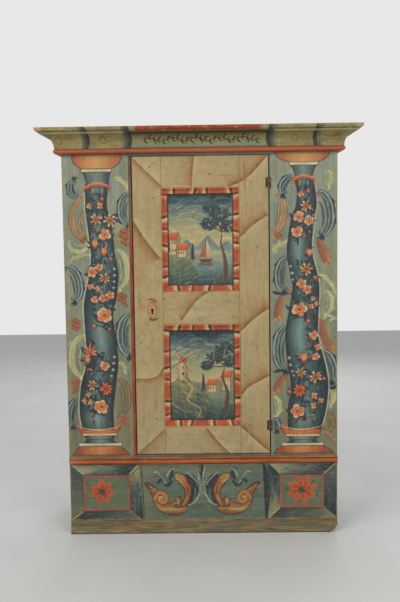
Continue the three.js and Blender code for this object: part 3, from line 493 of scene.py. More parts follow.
def inside(sheet, outline, soft=2.0):
    """How far each spot lies inside an outline, from 0 to 1 with a soft edge."""
    p = np.array(outline, float)
    near = spots_within(sheet, p.min(0) - soft, p.max(0) + soft)
    crossings = np.zeros(len(near), bool)
    distance = np.full(len(near), 1e9)
    px, pz = sheet["x"][near], sheet["z"][near]
    for (ax, az), (bx, bz) in zip(p, np.roll(p, -1, 0)):
        if az != bz:
            crossings ^= ((az > pz) != (bz > pz)) & (px < (bx - ax) * (pz - az) / (bz - az) + ax)
        length2 = max((bx - ax) ** 2 + (bz - az) ** 2, 1e-9)
        t = np.clip(((px - ax) * (bx - ax) + (pz - az) * (bz - az)) / length2, 0, 1)
        distance = np.minimum(distance, np.hypot(px - ax - t * (bx - ax), pz - az - t * (bz - az)))
    depth = np.where(crossings, distance, -distance)
    return near, np.clip(0.5 + depth / soft, 0, 1)


def shaded(stops, t):
    """Colours between the stops; each stop is a place and a colour."""
    places = [stop[0] for stop in stops]
    return np.stack([np.interp(t, places, [stop[1][k] for stop in stops]) for k in range(3)], -1)


def fill(sheet, outline, stops, direction=None, soft=2.0, load=1.0):
    """Fills an outline with one colour, or with colours that run along a direction."""
    near, cover = inside(sheet, outline, soft)
    if direction is None:
        tone = stops
    else:
        (ax, az), (bx, bz) = direction
        run = (sheet["x"][near] - ax) * (bx - ax) + (sheet["z"][near] - az) * (bz - az)
        tone = shaded(stops, run / ((bx - ax) ** 2 + (bz - az) ** 2))
    lay(sheet, near, tone, cover * load)


def dapple(sheet, outline, paints, count, length, width, angle, seed, form="leaf", load=0.6):
    """Many short strokes of mixed paints within an outline."""
    chance = np.random.default_rng(seed)
    near, cover = inside(sheet, outline)
    spots = near[cover > 0.9]
    for k in range(count):
        spot = spots[chance.integers(len(spots))]
        turn = math.radians(angle) + chance.normal() * 0.22
        reach = length * (0.5 + chance.random()) / 2
        x, z = sheet["x"][spot], sheet["z"][spot]
        dx, dz = math.cos(turn) * reach, math.sin(turn) * reach
        bend = (x - dz * 0.25, z + dx * 0.25)
        brush(sheet, [(x - dx, z - dz), bend, (x + dx, z + dz)], width * (0.6 + 0.8 * chance.random()),
              paints[k % len(paints)], form, 0.8, load)


# Paints
NAVY = (42, 52, 60)
LEAF_GREEN = (50, 60, 50)
GROUND = (124, 130, 109)
# Each scroll from its back to its front, then the paint of its edges and how strong its hatching is
SCROLL_PAINTS = {
    "navy": (((34, 44, 50), (184, 190, 168), (98, 120, 116), (42, 56, 62), (128, 142, 124), (86, 104, 102),
              (36, 46, 52)), (32, 42, 50), 0.1),
    "ochre": (((112, 88, 56), (150, 124, 82), (186, 150, 100), (168, 106, 72), (184, 138, 94),
               (158, 146, 102), (128, 108, 74)), (104, 78, 52), 0.3),
    "cream": (((132, 134, 92), (170, 166, 118), (198, 190, 142), (158, 160, 114), (192, 184, 138),
               (156, 156, 112), (134, 138, 98)), (120, 126, 88), 0.12),
    "brown": (((92, 72, 48), (130, 108, 70), (160, 132, 88), (112, 88, 58), (152, 128, 86),
               (120, 102, 68), (96, 80, 54)), (84, 62, 42), 0.34),
    "basket": (((138, 76, 58), (150, 86, 66), (156, 96, 70), (160, 106, 72), (160, 122, 78),
                (158, 134, 84), (138, 132, 86)), (112, 62, 48), 0.35),
}


def route(stroke):
    """A stroke's path: (x, z, x, z, bend) bends to its left by so much; more numbers are points on it."""
    if len(stroke) != 5:
        return list(zip(stroke[::2], stroke[1::2]))
    x0, z0, x1, z1, bend = stroke
    length = math.hypot(x1 - x0, z1 - z0)
    middle = ((x0 + x1) / 2 - (z1 - z0) / length * bend, (z0 + z1) / 2 + (x1 - x0) / length * bend)
    return [(x0, z0), middle, (x1, z1)]


def beside(x, z, angle, reach):
    """The point at some distance from another, in the given direction."""
    return x + math.cos(angle) * reach, z + math.sin(angle) * reach


def scroll(sheet, kind, start, end, bend, wide, seed):
    """An acanthus scroll: half an oval shaded in strands, rolled in at both ends, with lobes on its back."""
    start, chord = np.array(start, float), np.subtract(end, start).astype(float)
    aside = np.array([-chord[1], chord[0]]) / np.hypot(*chord) * bend
    turn = np.linspace(0, math.pi, 15)[:, None]
    spine = start + chord * (1 - np.cos(turn)) / 2 + aside * np.sin(turn)
    ahead = np.gradient(spine, axis=0)
    way = np.sign(bend)
    out = np.column_stack([-ahead[:, 1], ahead[:, 0]]) / np.linalg.norm(ahead, axis=1)[:, None] * way
    half = wide / 2 * (0.45 + 0.55 * np.sin(turn) ** 0.8 if kind != "basket" else 1)
    back, front = spine + out * half, spine - out * half
    near, cover = inside(sheet, np.vstack([back, front[::-1]]), 5.0)
    x, z = sheet["x"][near], sheet["z"][near]
    from_back, _, run = nearest_on(x, z, back)
    from_front, _, _ = nearest_on(x, z, front)
    across = from_back / np.maximum(from_back + from_front, 1e-6)
    across = across + 0.16 * (patches(x, z, 13, 13, seed) - 0.5)
    paints, edge, hatching = SCROLL_PAINTS[kind]
    tone = shaded(list(zip((0, 0.14, 0.32, 0.5, 0.68, 0.86, 1), paints)), across)
    hatch = 0.5 + 0.5 * np.sin(run * 0.62 + across * 5.0 + 3.0 * patches(x, z, 22, 22, seed + 1))
    tone = tone * (1 - hatching * hatch ** 3 * np.sin(np.clip(across, 0, 1) * math.pi))[:, None]
    tone = tone * (0.93 + 0.14 * patches(x, z, 30, 30, seed + 2))[:, None]
    lay(sheet, near, tone, cover * 0.92)
    line = 6.5 if kind == "navy" else 3.5
    brush(sheet, back, line, edge, "swell", 0.5, 0.9)
    if kind == "basket":
        # A scalloped foot of blunt lobes
        for k in range(4):
            root = front[-1] + (back[-1] - front[-1]) * (k + 0.5) / 4
            brush(sheet, [root, root + chord * 0.18], wide * 0.3,
                  ((168, 92, 62), (186, 132, 84))[k % 2], "swell", 0.5)
        return
    brush(sheet, front, line * 0.8, edge, "swell", 0.6, 0.85)
    # The smaller scroll within, then the rolls at head and foot
    within = start + chord * (0.24 + 0.6 * (1 - np.cos(turn)) / 2) + aside * 0.3 * np.sin(turn)
    brush(sheet, within, wide * 0.36, edge, "swell", 0.5, 0.9)
    brush(sheet, within + (1.5, 1.5), wide * 0.15, paints[2], "swell", 0.6, 0.9)
    head_angle = math.atan2(-ahead[0, 1], -ahead[0, 0])
    foot_angle = math.atan2(ahead[-1, 1], ahead[-1, 0])
    for point, angle, side in ((spine[0], head_angle, way), (spine[-1], foot_angle, -way)):
        reach = wide * 0.36
        centre = beside(*point, angle + side * math.pi / 2, reach)
        roll = [beside(*centre, angle + side * (0.8 * k - math.pi / 2), reach * (1 - 0.11 * k))
                for k in range(6)]
        brush(sheet, roll, wide * 0.36, edge, "comma", 0.5, 0.95)
        brush(sheet, roll, wide * 0.18, paints[2], "comma", 0.6, 0.9)
    # Lobes that fan out from the foot, and two on the back
    for k in range(3):
        angle = foot_angle + way * (0.55 * k + 0.3)
        tip = beside(*spine[-1], angle, wide * 0.95)
        belly = beside(*spine[-1], angle + way * 0.35, wide * 0.5)
        brush(sheet, [spine[-1], belly, tip], wide * 0.34, edge if kind == "navy" else paints[k],
              "leaf", 0.5, 0.92)
    for place in (5, 9):
        angle = math.atan2(out[place, 1], out[place, 0])
        tip = beside(*back[place], angle - way * 0.9, wide * 0.4)
        brush(sheet, [back[place - 1], tip], wide * 0.3, edge if kind == "navy" else paints[1],
              "leaf", 0.5, 0.85)


def tuft(sheet, lumps):
    """A tuft of rounded red lobes, each with an ochre light and a dark curl."""
    for x, z, size in lumps:
        blot(sheet, x, z - 1, size * 1.15, size * 1.1, (108, 62, 44), 0.5, 0.7)
    for number, (x, z, size) in enumerate(lumps):
        blot(sheet, x, z, size * 1.1, size, (142, 70, 44), 0.5, 0.97)
        blot(sheet, x - size * 0.25, z + size * 0.3, size * 0.6, size * 0.5, (178, 124, 74), 0.8, 0.85)
        curl = [beside(x, z, number * 1.9 + turn, size * 0.55) for turn in (-1.0, 0.0, 1.0)]
        brush(sheet, curl, max(2.4, size * 0.22), (98, 52, 38), "comma", 0.7, 0.85)
        blot(sheet, x + size * 0.3, z - size * 0.15, size * 0.3, size * 0.24, (180, 150, 96), 0.8, 0.7)


def leaves(sheet, x, z, size, count, seed):
    """Dark leaves that stick out from under a flower, some with a blue light on their edge."""
    chance = np.random.default_rng(seed)
    first = any_angle(chance)
    for k in range(count):
        angle = first + 2 * math.pi * k / count + chance.normal() * 0.3
        length = size * (1.3 + 0.7 * chance.random())
        tip, belly = beside(x, z, angle, length), beside(x, z, angle + 0.3, length * 0.62)
        paint = LEAF_GREEN if k % 2 else NAVY
        brush(sheet, [(x, z), belly, tip], max(8.0, size * 0.6), paint, "leaf", 0.4, 0.92)
        if k % 2:
            brush(sheet, [(belly[0] + 2, belly[1] + 2), tip], 2.4, (122, 142, 130), "leaf", 0.6, 0.75)


def foliage(sheet, flowers, shaft, seed):
    """Leaves, pale blades and small berries between the flowers on the shaft."""
    chance = np.random.default_rng(seed)
    blooms = [(x, z, size) for kind, x, z, size in flowers if kind is not berry]
    heights, left_edge, right_edge = shaft.T
    for _ in range(280):
        bloom_x, bloom_z, size = blooms[chance.integers(len(blooms))]
        angle = any_angle(chance)
        x, z = beside(bloom_x, bloom_z, angle, size + 12 * chance.random())
        left, right = np.interp(z, heights, left_edge), np.interp(z, heights, right_edge)
        turn = angle + chance.normal() * 0.8
        tip = beside(x, z, turn, 14 + 18 * chance.random())
        if not (left + 6 < x < right - 6 and left + 3 < tip[0] < right - 3):
            continue
        bend = ((x + tip[0]) / 2 + math.sin(turn) * 4, (z + tip[1]) / 2 - math.cos(turn) * 4)
        pick = chance.random()
        if pick < 0.6:
            brush(sheet, [(x, z), bend, tip], 7 + 6 * chance.random(), (36, 46, 50), "leaf", 0.5, 0.9)
        elif pick < 0.82:
            brush(sheet, [(x, z), bend, tip], 5.0, (112, 142, 146), "leaf", 0.6, 0.85)
        elif pick < 0.92:
            brush(sheet, [(x, z), bend, tip], 3.0, (150, 158, 132), "comma", 0.6, 0.7)
        else:
            blot(sheet, x, z, 4.6, 4.6, (176, 140, 108), 0.5, 0.9)
            blot(sheet, x, z, 2.0, 2.0, (120, 62, 44), 0.6, 0.9)


def rose(sheet, x, z, size, seed):
    """Cream-edged petals laid over one another, an orange heart with pale curls, and a shade below."""
    chance = np.random.default_rng(seed)
    first = any_angle(chance)
    petals = chance.integers(5, 7) if size > 16 else 4
    blot(sheet, x - size * 0.08, z - size * 0.14, size * 1.12, size * 1.06, (50, 46, 44), 0.35, 0.85)
    for k in range(petals):
        angle = first + 2 * math.pi * k / petals + chance.normal() * 0.16
        grow = size * (0.85 + 0.3 * chance.random())
        light = (226, 200, 158) if k % 3 else (198, 142, 100)
        coats = ((0.5, 0.5, (116, 66, 44), 0.35), (0.56, 0.46, light, 0.35), (0.38, 0.4, (190, 104, 58), 0.5))
        for reach, wide, paint, soft in coats:
            petal = beside(x, z, angle, size * reach)
            blot(sheet, *petal, grow * wide, grow * wide * 0.9, paint, soft, 0.9, angle)
        blot(sheet, *petal, size * 0.2, size * 0.16, (212, 140, 88), 0.9, 0.7, angle)
    blot(sheet, x, z, size * 0.42, size * 0.38, (168, 76, 42), 0.45)
    for k in range(3):
        turn = first + 0.6 + k * 2.1 + chance.normal() * 0.3
        reach = size * (0.26 + 0.08 * chance.random())
        curl = [beside(x, z, turn + twist, reach) for twist in (-0.9, 0, 0.9)]
        brush(sheet, curl, max(1.8, size * 0.12), (220, 166, 112), "swell", 0.7, 0.85)
    blot(sheet, x + size * 0.04, z, size * 0.16, size * 0.13, (132, 54, 34), 0.6, 0.9)


def star(sheet, x, z, size, seed):
    """A flower with a brown heart and ochre petals that end in white tips."""
    chance = np.random.default_rng(seed)
    first = any_angle(chance)
    blot(sheet, x, z - size * 0.08, size * 0.9, size * 0.86, (48, 48, 44), 0.4, 0.8)
    for k in range(7):
        angle = first + 2 * math.pi * k / 7 + chance.normal() * 0.14
        tip = beside(x, z, angle, size * (0.72 + 0.16 * chance.random()))
        belly = beside(x, z, angle + 0.15, size * 0.4)
        brush(sheet, [(x, z), belly, tip], size * 0.44, (164, 112, 62), "swell", 0.45)
        paint = (216, 198, 166) if k % 3 else (204, 140, 94)
        blot(sheet, *tip, size * 0.21, size * 0.17, paint, 0.5, 0.95, angle)
        brush(sheet, [(x, z), belly], size * 0.12, (118, 72, 42), "leaf", 0.7, 0.8)
    for reach, paint in ((0.34, (122, 74, 44)), (0.17, (72, 64, 44)), (0.07, (196, 170, 116))):
        blot(sheet, x, z, size * reach, size * reach * 0.94, paint, 0.5, 0.92)


def rosette(sheet, x, z, size, seed):
    """A red flower of many petals round a green heart."""
    chance = np.random.default_rng(seed)
    blot(sheet, x, z - size * 0.06, size * 1.02, size * 0.98, (56, 44, 42), 0.35, 0.85)
    for k in range(9):
        angle = 2 * math.pi * (k + 0.15 * chance.normal()) / 9
        tip = beside(x, z, angle, size * (0.78 + 0.14 * chance.random()))
        middle = beside(x, z, angle, size * 0.5)
        brush(sheet, [(x, z), middle, tip], size * 0.44, (184, 82, 48), "swell", 0.4)
        paint = (214, 132, 92) if k % 2 else (204, 108, 66)
        brush(sheet, [middle, tip], size * 0.2, paint, "swell", 0.6, 0.85)
        brush(sheet, [(x, z), middle], size * 0.09, (120, 48, 32), "leaf", 0.7, 0.8)
    blot(sheet, x, z, size * 0.28, size * 0.26, (54, 68, 46), 0.45, 0.95)
    blot(sheet, x, z, size * 0.12, size * 0.11, (128, 136, 84), 0.6, 0.85)


def tulip(sheet, x, z, size, seed):
    """A bell of petals seen from the side."""
    blot(sheet, x, z - size * 0.2, size * 0.82, size * 0.8, (58, 48, 46), 0.4, 0.7)
    for turn, length in ((-0.55, 1.0), (0.55, 0.95), (-0.25, 1.12), (0.28, 1.08), (0.0, 0.95)):
        tip = beside(x, z, math.pi / 2 - turn, size * length)
        side = (x + math.sin(turn) * size * 0.72, z + math.cos(turn) * size * 0.3)
        paint = (192, 108, 64) if abs(turn) > 0.3 else (204, 132, 84)
        brush(sheet, [(x, z - size * 0.5), side, tip], size * 0.46, paint, "swell", 0.45, 0.95)
    blot(sheet, x, z - size * 0.36, size * 0.42, size * 0.32, (168, 78, 44), 0.6, 0.9)


def lily(sheet, x, z, size, seed):
    """Long pointed petals that spread from one side."""
    for degrees, length in ((150, 0.95), (118, 1.15), (90, 1.25), (62, 1.0), (28, 0.9),
                            (-12, 0.75), (200, 0.7)):
        angle = math.radians(degrees)
        tip, bend = beside(x, z, angle, size * length), beside(x, z, angle + 0.2, size * length * 0.5)
        paint = (186, 92, 58) if degrees % 4 else (204, 120, 80)
        brush(sheet, [(x, z), bend, tip], size * 0.36, (72, 50, 46), "leaf", 0.4, 0.7)
        brush(sheet, [(x, z), bend, tip], size * 0.28, paint, "leaf", 0.45)
        brush(sheet, [bend, tip], size * 0.1, (220, 160, 124), "leaf", 0.7, 0.8)
    blot(sheet, x, z, size * 0.2, size * 0.18, (150, 62, 42), 0.5, 0.95)


def sprig(sheet, x, z, size, seed):
    """A few small buds on dark stems."""
    chance = np.random.default_rng(seed)
    for _ in range(4):
        tip = beside(x, z, any_angle(chance), size)
        brush(sheet, [(x, z), tip], 3.4, (46, 44, 42), "leaf", 0.5, 0.9)
        blot(sheet, *tip, 5.2, 4.6, (168, 96, 70), 0.5, 0.95)
        blot(sheet, tip[0] - 1.2, tip[1] + 1.4, 2.2, 1.9, (206, 178, 150), 0.6, 0.9)


def bead(sheet, x, z, size, rim, body, light):
    """A small round thing with a dark rim and a light: a bud or a pearl."""
    blot(sheet, x, z, size * 1.08, size * 1.04, rim, 0.4, 0.85)
    blot(sheet, x, z, size * 0.85, size * 0.8, body, 0.4, 0.97)
    blot(sheet, x - size * 0.2, z + size * 0.25, size * 0.42, size * 0.35, light, 0.6, 0.9)


def bud(sheet, x, z, size, seed):
    """A round red bud."""
    bead(sheet, x, z, size, (54, 46, 44), (180, 84, 54), (214, 148, 108))


def berry(sheet, x, z, size, seed):
    """A grey bead, one of a string."""
    bead(sheet, x, z, size, (40, 46, 48), (140, 146, 138), (196, 188, 172))


def rounded(dark, light, place=0.5):
    """Shading across something round, from dark edges to its light."""
    dark, light = np.array(dark, float), np.array(light, float)
    half = dark * 0.45 + light * 0.55
    return [(0, dark), (place * 0.45, half), (place, light), (place * 0.5 + 0.5, half), (1, dark)]


def column(sheet, shaft, bare_heights, light):
    """The swelling shaft, dark at its sides, with a soft sheen down its middle where it is bare."""
    heights, left_edge, right_edge = shaft.T
    left_line, right_line = shaft[:, [1, 0]], shaft[:, [2, 0]]
    near, cover = inside(sheet, np.vstack([left_line, right_line[::-1]]), 2.5)
    x, z = sheet["x"][near], sheet["z"][near]
    left, right = np.interp(z, heights, left_edge), np.interp(z, heights, right_edge)
    across = (x - left) / (right - left)
    bare = np.zeros_like(z)
    for middle, reach in bare_heights:
        bare = np.maximum(bare, np.clip(1.4 - abs(z - middle) / reach, 0, 1))
    covered = shaded(rounded((34, 42, 46), (84, 104, 100), light), across)
    sheen = shaded(rounded((34, 42, 46), (116, 140, 128), light), across)
    tone = covered + (sheen - covered) * bare[:, None]
    tone *= (0.92 + 0.16 * patches(x, z, 9, 120, 31))[:, None]
    lay(sheet, near, tone, cover)
    brush(sheet, right_line, 5.0, (34, 38, 38), "line", 0.6, 0.85)
    brush(sheet, left_line, 4.0, (38, 44, 44), "line", 0.6, 0.7)


def pilaster_ground(sheet, left, right, seed):
    """The ground of a front board: thin uneven coats, bluer above, warmer and darker towards the foot."""
    x, z = sheet["x"], sheet["z"]
    wash(sheet, GROUND, 1.0)
    mottle(sheet, ((140, 140, 104), 0.75, 70, 260, seed, 1), ((104, 120, 108), 0.65, 60, 200, seed + 1, 1))
    wash(sheet, (132, 146, 138), rise(z, 1000, 1680) * 0.6)
    wash(sheet, (128, 122, 86), rise(z, 900, 300) * 0.4)
    mottle(sheet, ((92, 104, 94), 0.5, 26, 180, seed + 2, 2), ((164, 158, 118), 0.55, 30, 90, seed + 3, 2),
           ((150, 118, 80), 0.35, 50, 70, seed + 4, 3))
    edge = np.minimum(x - left, right - x)
    wash(sheet, (84, 76, 54), 0.42 * rise(z, 1000, 300) * (0.6 + 0.4 * patches(x, z, 60, 120, seed + 8)))
    wash(sheet, (154, 150, 112), 0.4 * np.clip(1 - edge / 34, 0, 1) * patches(x, z, 24, 160, seed + 6))


def worn_edges(sheet, box, reach, seed, wood=(158, 128, 84)):
    """Paint rubbed off the arrises, down to the wood."""
    x, z = sheet["x"], sheet["z"]
    edge = from_edges(x, z, box)
    ragged = patches(x, z, 14, 60, seed)
    wash(sheet, wood, np.clip(1.3 - edge / (reach * (0.2 + 1.6 * ragged)), 0, 1) * 0.85)


# Turned members of the column: shade, light, the line round them and how wide that is
MEMBER_PAINTS = {
    "bowl": ((162, 80, 50), (194, 150, 88), (58, 48, 38), 4.4),
    "dish": ((164, 78, 50), (192, 114, 60), (84, 50, 38), 3.4),
    "collar": ((206, 190, 150), (188, 172, 134), (60, 52, 42), 3.4),
    "neck": ((43, 54, 59), (115, 130, 116), (38, 46, 48), 4.6),
    "block": ((154, 80, 45), (196, 126, 70), (52, 44, 35), 4.4),
}


def member(sheet, kind, above, below, power=1.0):
    """One member, from its left, right and height above to those below; its sides stay out, or draw in."""
    dark, light, line, width = MEMBER_PAINTS[kind]
    drop = np.linspace(0, 1, 9)
    heights = above[2] + (below[2] - above[2]) * drop
    sides = [np.column_stack([above[k] + (below[k] - above[k]) * drop ** power, heights]) for k in (0, 1)]
    fill(sheet, np.vstack([sides[0], sides[1][::-1]]), rounded(dark, light), (sides[0][0], sides[1][0]))
    for path in (*sides, [sides[0][-1], sides[1][-1]]):
        brush(sheet, path, width, line, "line", 0.6, 0.9)
    left, right, top = above
    inset = (right - left) * 0.16
    brush(sheet, [(left + inset, top - 9), (right - inset, top - 8)], 7, light, "leaf", 0.9, 0.6)


def column_rings(sheet, ring, dish):
    """The ring arched over the shaft's head, with the colours under it, and the rim of the dish below."""
    left, right, top = ring
    for number, paint in enumerate(((110, 50, 40), (180, 150, 86), (92, 112, 96),
                                    (120, 140, 134), (60, 78, 84))):
        x = left + 24 + number * (right - left - 47) / 4
        brush(sheet, [(x, top - 14), (x, top - 40)], 13, paint, "leaf", 0.6, 0.8)
    arch = route((left + 6, top - 30, left + 16, top - 12, (left + right) / 2, top + 2, right - 16, top - 10,
                  right - 6, top - 26))
    brush(sheet, arch, 17, (184, 92, 58), "swell", 0.4)
    brush(sheet, [(x, z + 5) for x, z in arch[1:-1]], 6, (212, 150, 108), "swell", 0.7, 0.8)
    brush(sheet, [(x, z - 8) for x, z in arch], 3, (104, 52, 38), "swell", 0.6, 0.7)
    left, right, top = dish
    rim = route((left, top + 3, left + 26, top - 11, (left + right) / 2, top - 19, right - 26,
                 top - 11, right, top + 3))
    brush(sheet, [(x, z - 12) for x, z in rim[1:-1]], 12, (190, 112, 60), "swell", 0.7, 0.9)
    brush(sheet, rim, 5, (216, 190, 140), "swell", 0.6, 0.9)


# What is painted on each board, read off the photograph: flowers as kind, x, height and size;
# scrolls as kind, head, foot, bend and width; strokes as paint, width, form and routes; tufts as
# lumps, each an x, a height and a size
left_board = {
    "x": (-SIDE, -308.95), "seed": 11, "light": 0.5,
    "flowers": [
        (rose, -482, 1473, 13), (bud, -426, 1503, 11), (rose, -436, 1474, 15), (star, -453, 1414, 27),
        (star, -394, 1409, 28), (sprig, -465, 1365, 16), (rose, -418, 1347, 28), (tulip, -462, 1301, 22),
        (tulip, -423, 1267, 22), (bud, -394, 1242, 10), (rose, -477, 1184, 24), (rose, -445, 1204, 18),
        (star, -423, 1157, 24), (berry, -379, 1197, 9), (berry, -379, 1168, 9), (berry, -381, 1140, 8),
        (berry, -384, 1113, 8), (rose, -485, 1119, 15), (rose, -458, 1109, 14), (rose, -469, 1063, 17),
        (rose, -430, 1069, 22), (rose, -400, 1080, 20), (rose, -427, 992, 34), (bud, -474, 945, 13),
        (bud, -405, 930, 8), (lily, -492, 820, 38), (tulip, -507, 788, 20), (rose, -432, 766, 23),
        (berry, -388, 805, 9), (berry, -391, 777, 9), (berry, -394, 748, 9), (berry, -402, 720, 8),
        (sprig, -500, 740, 12), (star, -487, 680, 23), (rosette, -428, 663, 31), (rose, -508, 638, 13),
        (rose, -525, 611, 13), (rose, -498, 604, 13), (rose, -451, 582, 33), (sprig, -490, 539, 13),
    ],
    "scrolls": [
        ("navy", (-538, 1514), (-547, 1582), 24, 26), ("ochre", (-502, 1506), (-500, 1326), -60, 28),
        ("ochre", (-500, 1440), (-511, 1352), -24, 12), ("cream", (-576, 1316), (-494, 1304), -36, 24),
        ("navy", (-310, 1520), (-316, 1394), -34, 28), ("cream", (-367, 1280), (-360, 1114), 42, 30),
        ("cream", (-518, 902), (-535, 722), -52, 34), ("navy", (-315, 992), (-320, 815), -42, 36),
        ("brown", (-374, 704), (-364, 552), 38, 30), ("navy", (-588, 1206), (-558, 1060), 40, 30),
        ("navy", (-546, 618), (-578, 500), -30, 28), ("cream", (-372, 1592), (-316, 1540), 14, 20),
        ("cream", (-574, 1228), (-490, 1256), 14, 16), ("cream", (-366, 780), (-344, 740), 10, 16),
    ],
    "strokes": [
        ((132, 124, 80), 24, "swell", (-348, 1367, -350, 1292, -8), (-582, 984, -576, 933, -7),
         (-593, 701, -576, 649, -6)),
        ((160, 80, 52), 14.4, "swell", (-368, 542, -346, 499, -4), (-364, 540, -326, 516, 1),
         (-355, 524, -327, 486, -2)),
    ],
    "tufts": [
        [(-517, 1327, 11), (-504, 1334, 9), (-511, 1320, 8)],
        [(-334, 1362, 14), (-321, 1358, 10), (-345, 1343, 10), (-326, 1336, 13), (-335, 1316, 13),
         (-323, 1305, 10)],
        [(-563, 972, 11), (-547, 966, 12), (-562, 954, 11), (-545, 944, 11), (-566, 938, 8), (-550, 930, 8)],
        [(-568, 697, 12), (-549, 698, 10), (-562, 672, 12), (-571, 652, 9), (-552, 660, 8)],
        [(-355, 1083, 13), (-338, 1074, 12), (-358, 1063, 11), (-340, 1049, 12), (-331, 1034, 8)],
    ],
    # The shaft as height, left edge and right edge, and its bare parts as height and reach
    "shaft": [(1566, -500, -396), (1500, -499, -407), (1456, -499, -405), (1390, -492, -389),
              (1259, -479, -376), (1171, -489, -364), (1061, -513, -375), (994, -516, -391),
              (793, -510, -373), (681, -537, -385), (560, -547, -399), (476, -534, -398)],
    "bare": [(1300, 60), (900, 90), (535, 40)],
    # Members as kind, left, right and height above, the same below, and how long the sides stay out;
    # then the ring and the dish's rim as left, right and height
    "members": [
        ("bowl", (-556, -337, 1698), (-512, -386, 1633), 3.0),
        ("neck", (-512, -386, 1618), (-492, -398, 1562), 0.5),
        ("collar", (-518, -380, 1632), (-513, -385, 1619)),
        ("dish", (-560, -368, 496), (-526, -402, 450), 2.2),
        ("neck", (-534, -388, 450), (-519, -403, 433), 0.5),
        ("neck", (-519, -403, 433), (-536, -382, 416), 2.0),
        ("collar", (-540, -382, 459), (-536, -386, 450)), ("collar", (-554, -364, 416), (-558, -360, 404)),
        ("block", (-552, -366, 399), (-584, -330, 362), 0.8),
    ],
    "ring": (-512, -380, 1566), "dish": (-560, -368, 496),
}
right_board = {
    "x": (304.95, SIDE), "seed": 23, "light": 0.42,
    "flowers": [
        (rose, 440, 1512, 14), (bud, 474, 1525, 12), (sprig, 511, 1507, 11), (star, 463, 1461, 26),
        (rose, 431, 1413, 25), (rose, 477, 1399, 22), (sprig, 494, 1432, 12), (rose, 424, 1349, 26),
        (sprig, 467, 1340, 14), (tulip, 478, 1252, 20), (star, 464, 1186, 28), (berry, 402, 1168, 10),
        (berry, 395, 1198, 7), (berry, 404, 1139, 7), (bud, 504, 1147, 14), (rose, 444, 1121, 24),
        (rose, 468, 1096, 22), (bud, 388, 1086, 9), (rose, 493, 1055, 12), (rose, 509, 1031, 11),
        (rose, 434, 1008, 35), (rose, 486, 1020, 13), (bud, 473, 956, 12), (rose, 495, 894, 21),
        (bud, 472, 856, 7), (rose, 513, 839, 16), (rose, 505, 797, 18), (tulip, 453, 786, 26),
        (berry, 388, 792, 10), (berry, 393, 761, 9), (berry, 401, 732, 7), (berry, 406, 713, 6),
        (star, 438, 726, 22), (star, 504, 705, 29), (bud, 542, 698, 10), (rosette, 433, 646, 32),
        (rose, 498, 621, 16), (rose, 528, 599, 12), (rose, 496, 578, 15), (bud, 388, 640, 12),
        (rose, 424, 552, 33), (sprig, 483, 524, 15),
    ],
    "scrolls": [
        ("ochre", (343, 1510), (320, 1346), 34, 32), ("navy", (516, 1520), (532, 1336), 48, 34),
        ("basket", (535, 1306), (559, 1228), -4, 50), ("navy", (376, 930), (370, 740), -44, 32),
        ("cream", (316, 620), (322, 530), 26, 22), ("cream", (549, 1086), (545, 986), 30, 24),
        ("basket", (540, 958), (573, 843), -8, 46), ("brown", (548, 542), (557, 462), 27, 24),
        ("navy", (404, 1584), (366, 1516), -24, 28), ("navy", (382, 1236), (366, 1094), -36, 30),
        ("cream", (322, 1264), (370, 1298), 8, 28), ("cream", (556, 1612), (560, 1550), 14, 24),
        ("cream", (520, 1158), (586, 1084), 14, 20), ("navy", (538, 818), (574, 690), 28, 32),
        ("basket", (364, 1054), (342, 978), -6, 42), ("basket", (376, 702), (336, 648), -8, 40),
        ("navy", (318, 520), (330, 470), 10, 24), ("cream", (566, 652), (570, 586), 18, 24),
        ("ochre", (536, 458), (578, 426), 8, 16),
    ],
    "strokes": [
        ((32, 46, 46), 16, "leaf", (308, 1089, 368, 1076, -2), (313, 728, 384, 730, 8),
         (560, 657, 599, 669, -9)),
        ((192, 184, 140), 11.6, "comma", (549, 982, 599, 969, 1), (569, 958, 600, 958, 8)),
    ],
    "tufts": [[(333, 1338, 11), (347, 1334, 12), (342, 1326, 8)]],
    "shaft": [(1586, 414, 492), (1529, 424, 502), (1465, 420, 507), (1400, 398, 497), (1269, 380, 487),
              (1160, 394, 511), (1093, 403, 519), (939, 376, 513), (872, 372, 517), (761, 381, 545),
              (671, 395, 558), (560, 381, 548), (470, 382, 524)],
    "bare": [(1275, 70), (890, 95), (520, 40)],
    "members": [
        ("bowl", (329, 567, 1700), (396, 510, 1650), 3.0), ("neck", (394, 512, 1636), (416, 489, 1590), 0.5),
        ("collar", (388, 518, 1650), (393, 513, 1637)), ("dish", (345, 537, 490), (379, 503, 444), 2.2),
        ("neck", (376, 518, 438), (391, 503, 423), 0.5), ("neck", (391, 503, 423), (372, 520, 408), 2.0),
        ("collar", (370, 524, 447), (374, 520, 438)), ("collar", (354, 538, 408), (350, 542, 396)),
        ("block", (352, 538, 394), (314, 584, 362), 0.8),
    ],
    "ring": (394, 512, 1588), "dish": (345, 537, 490),
}
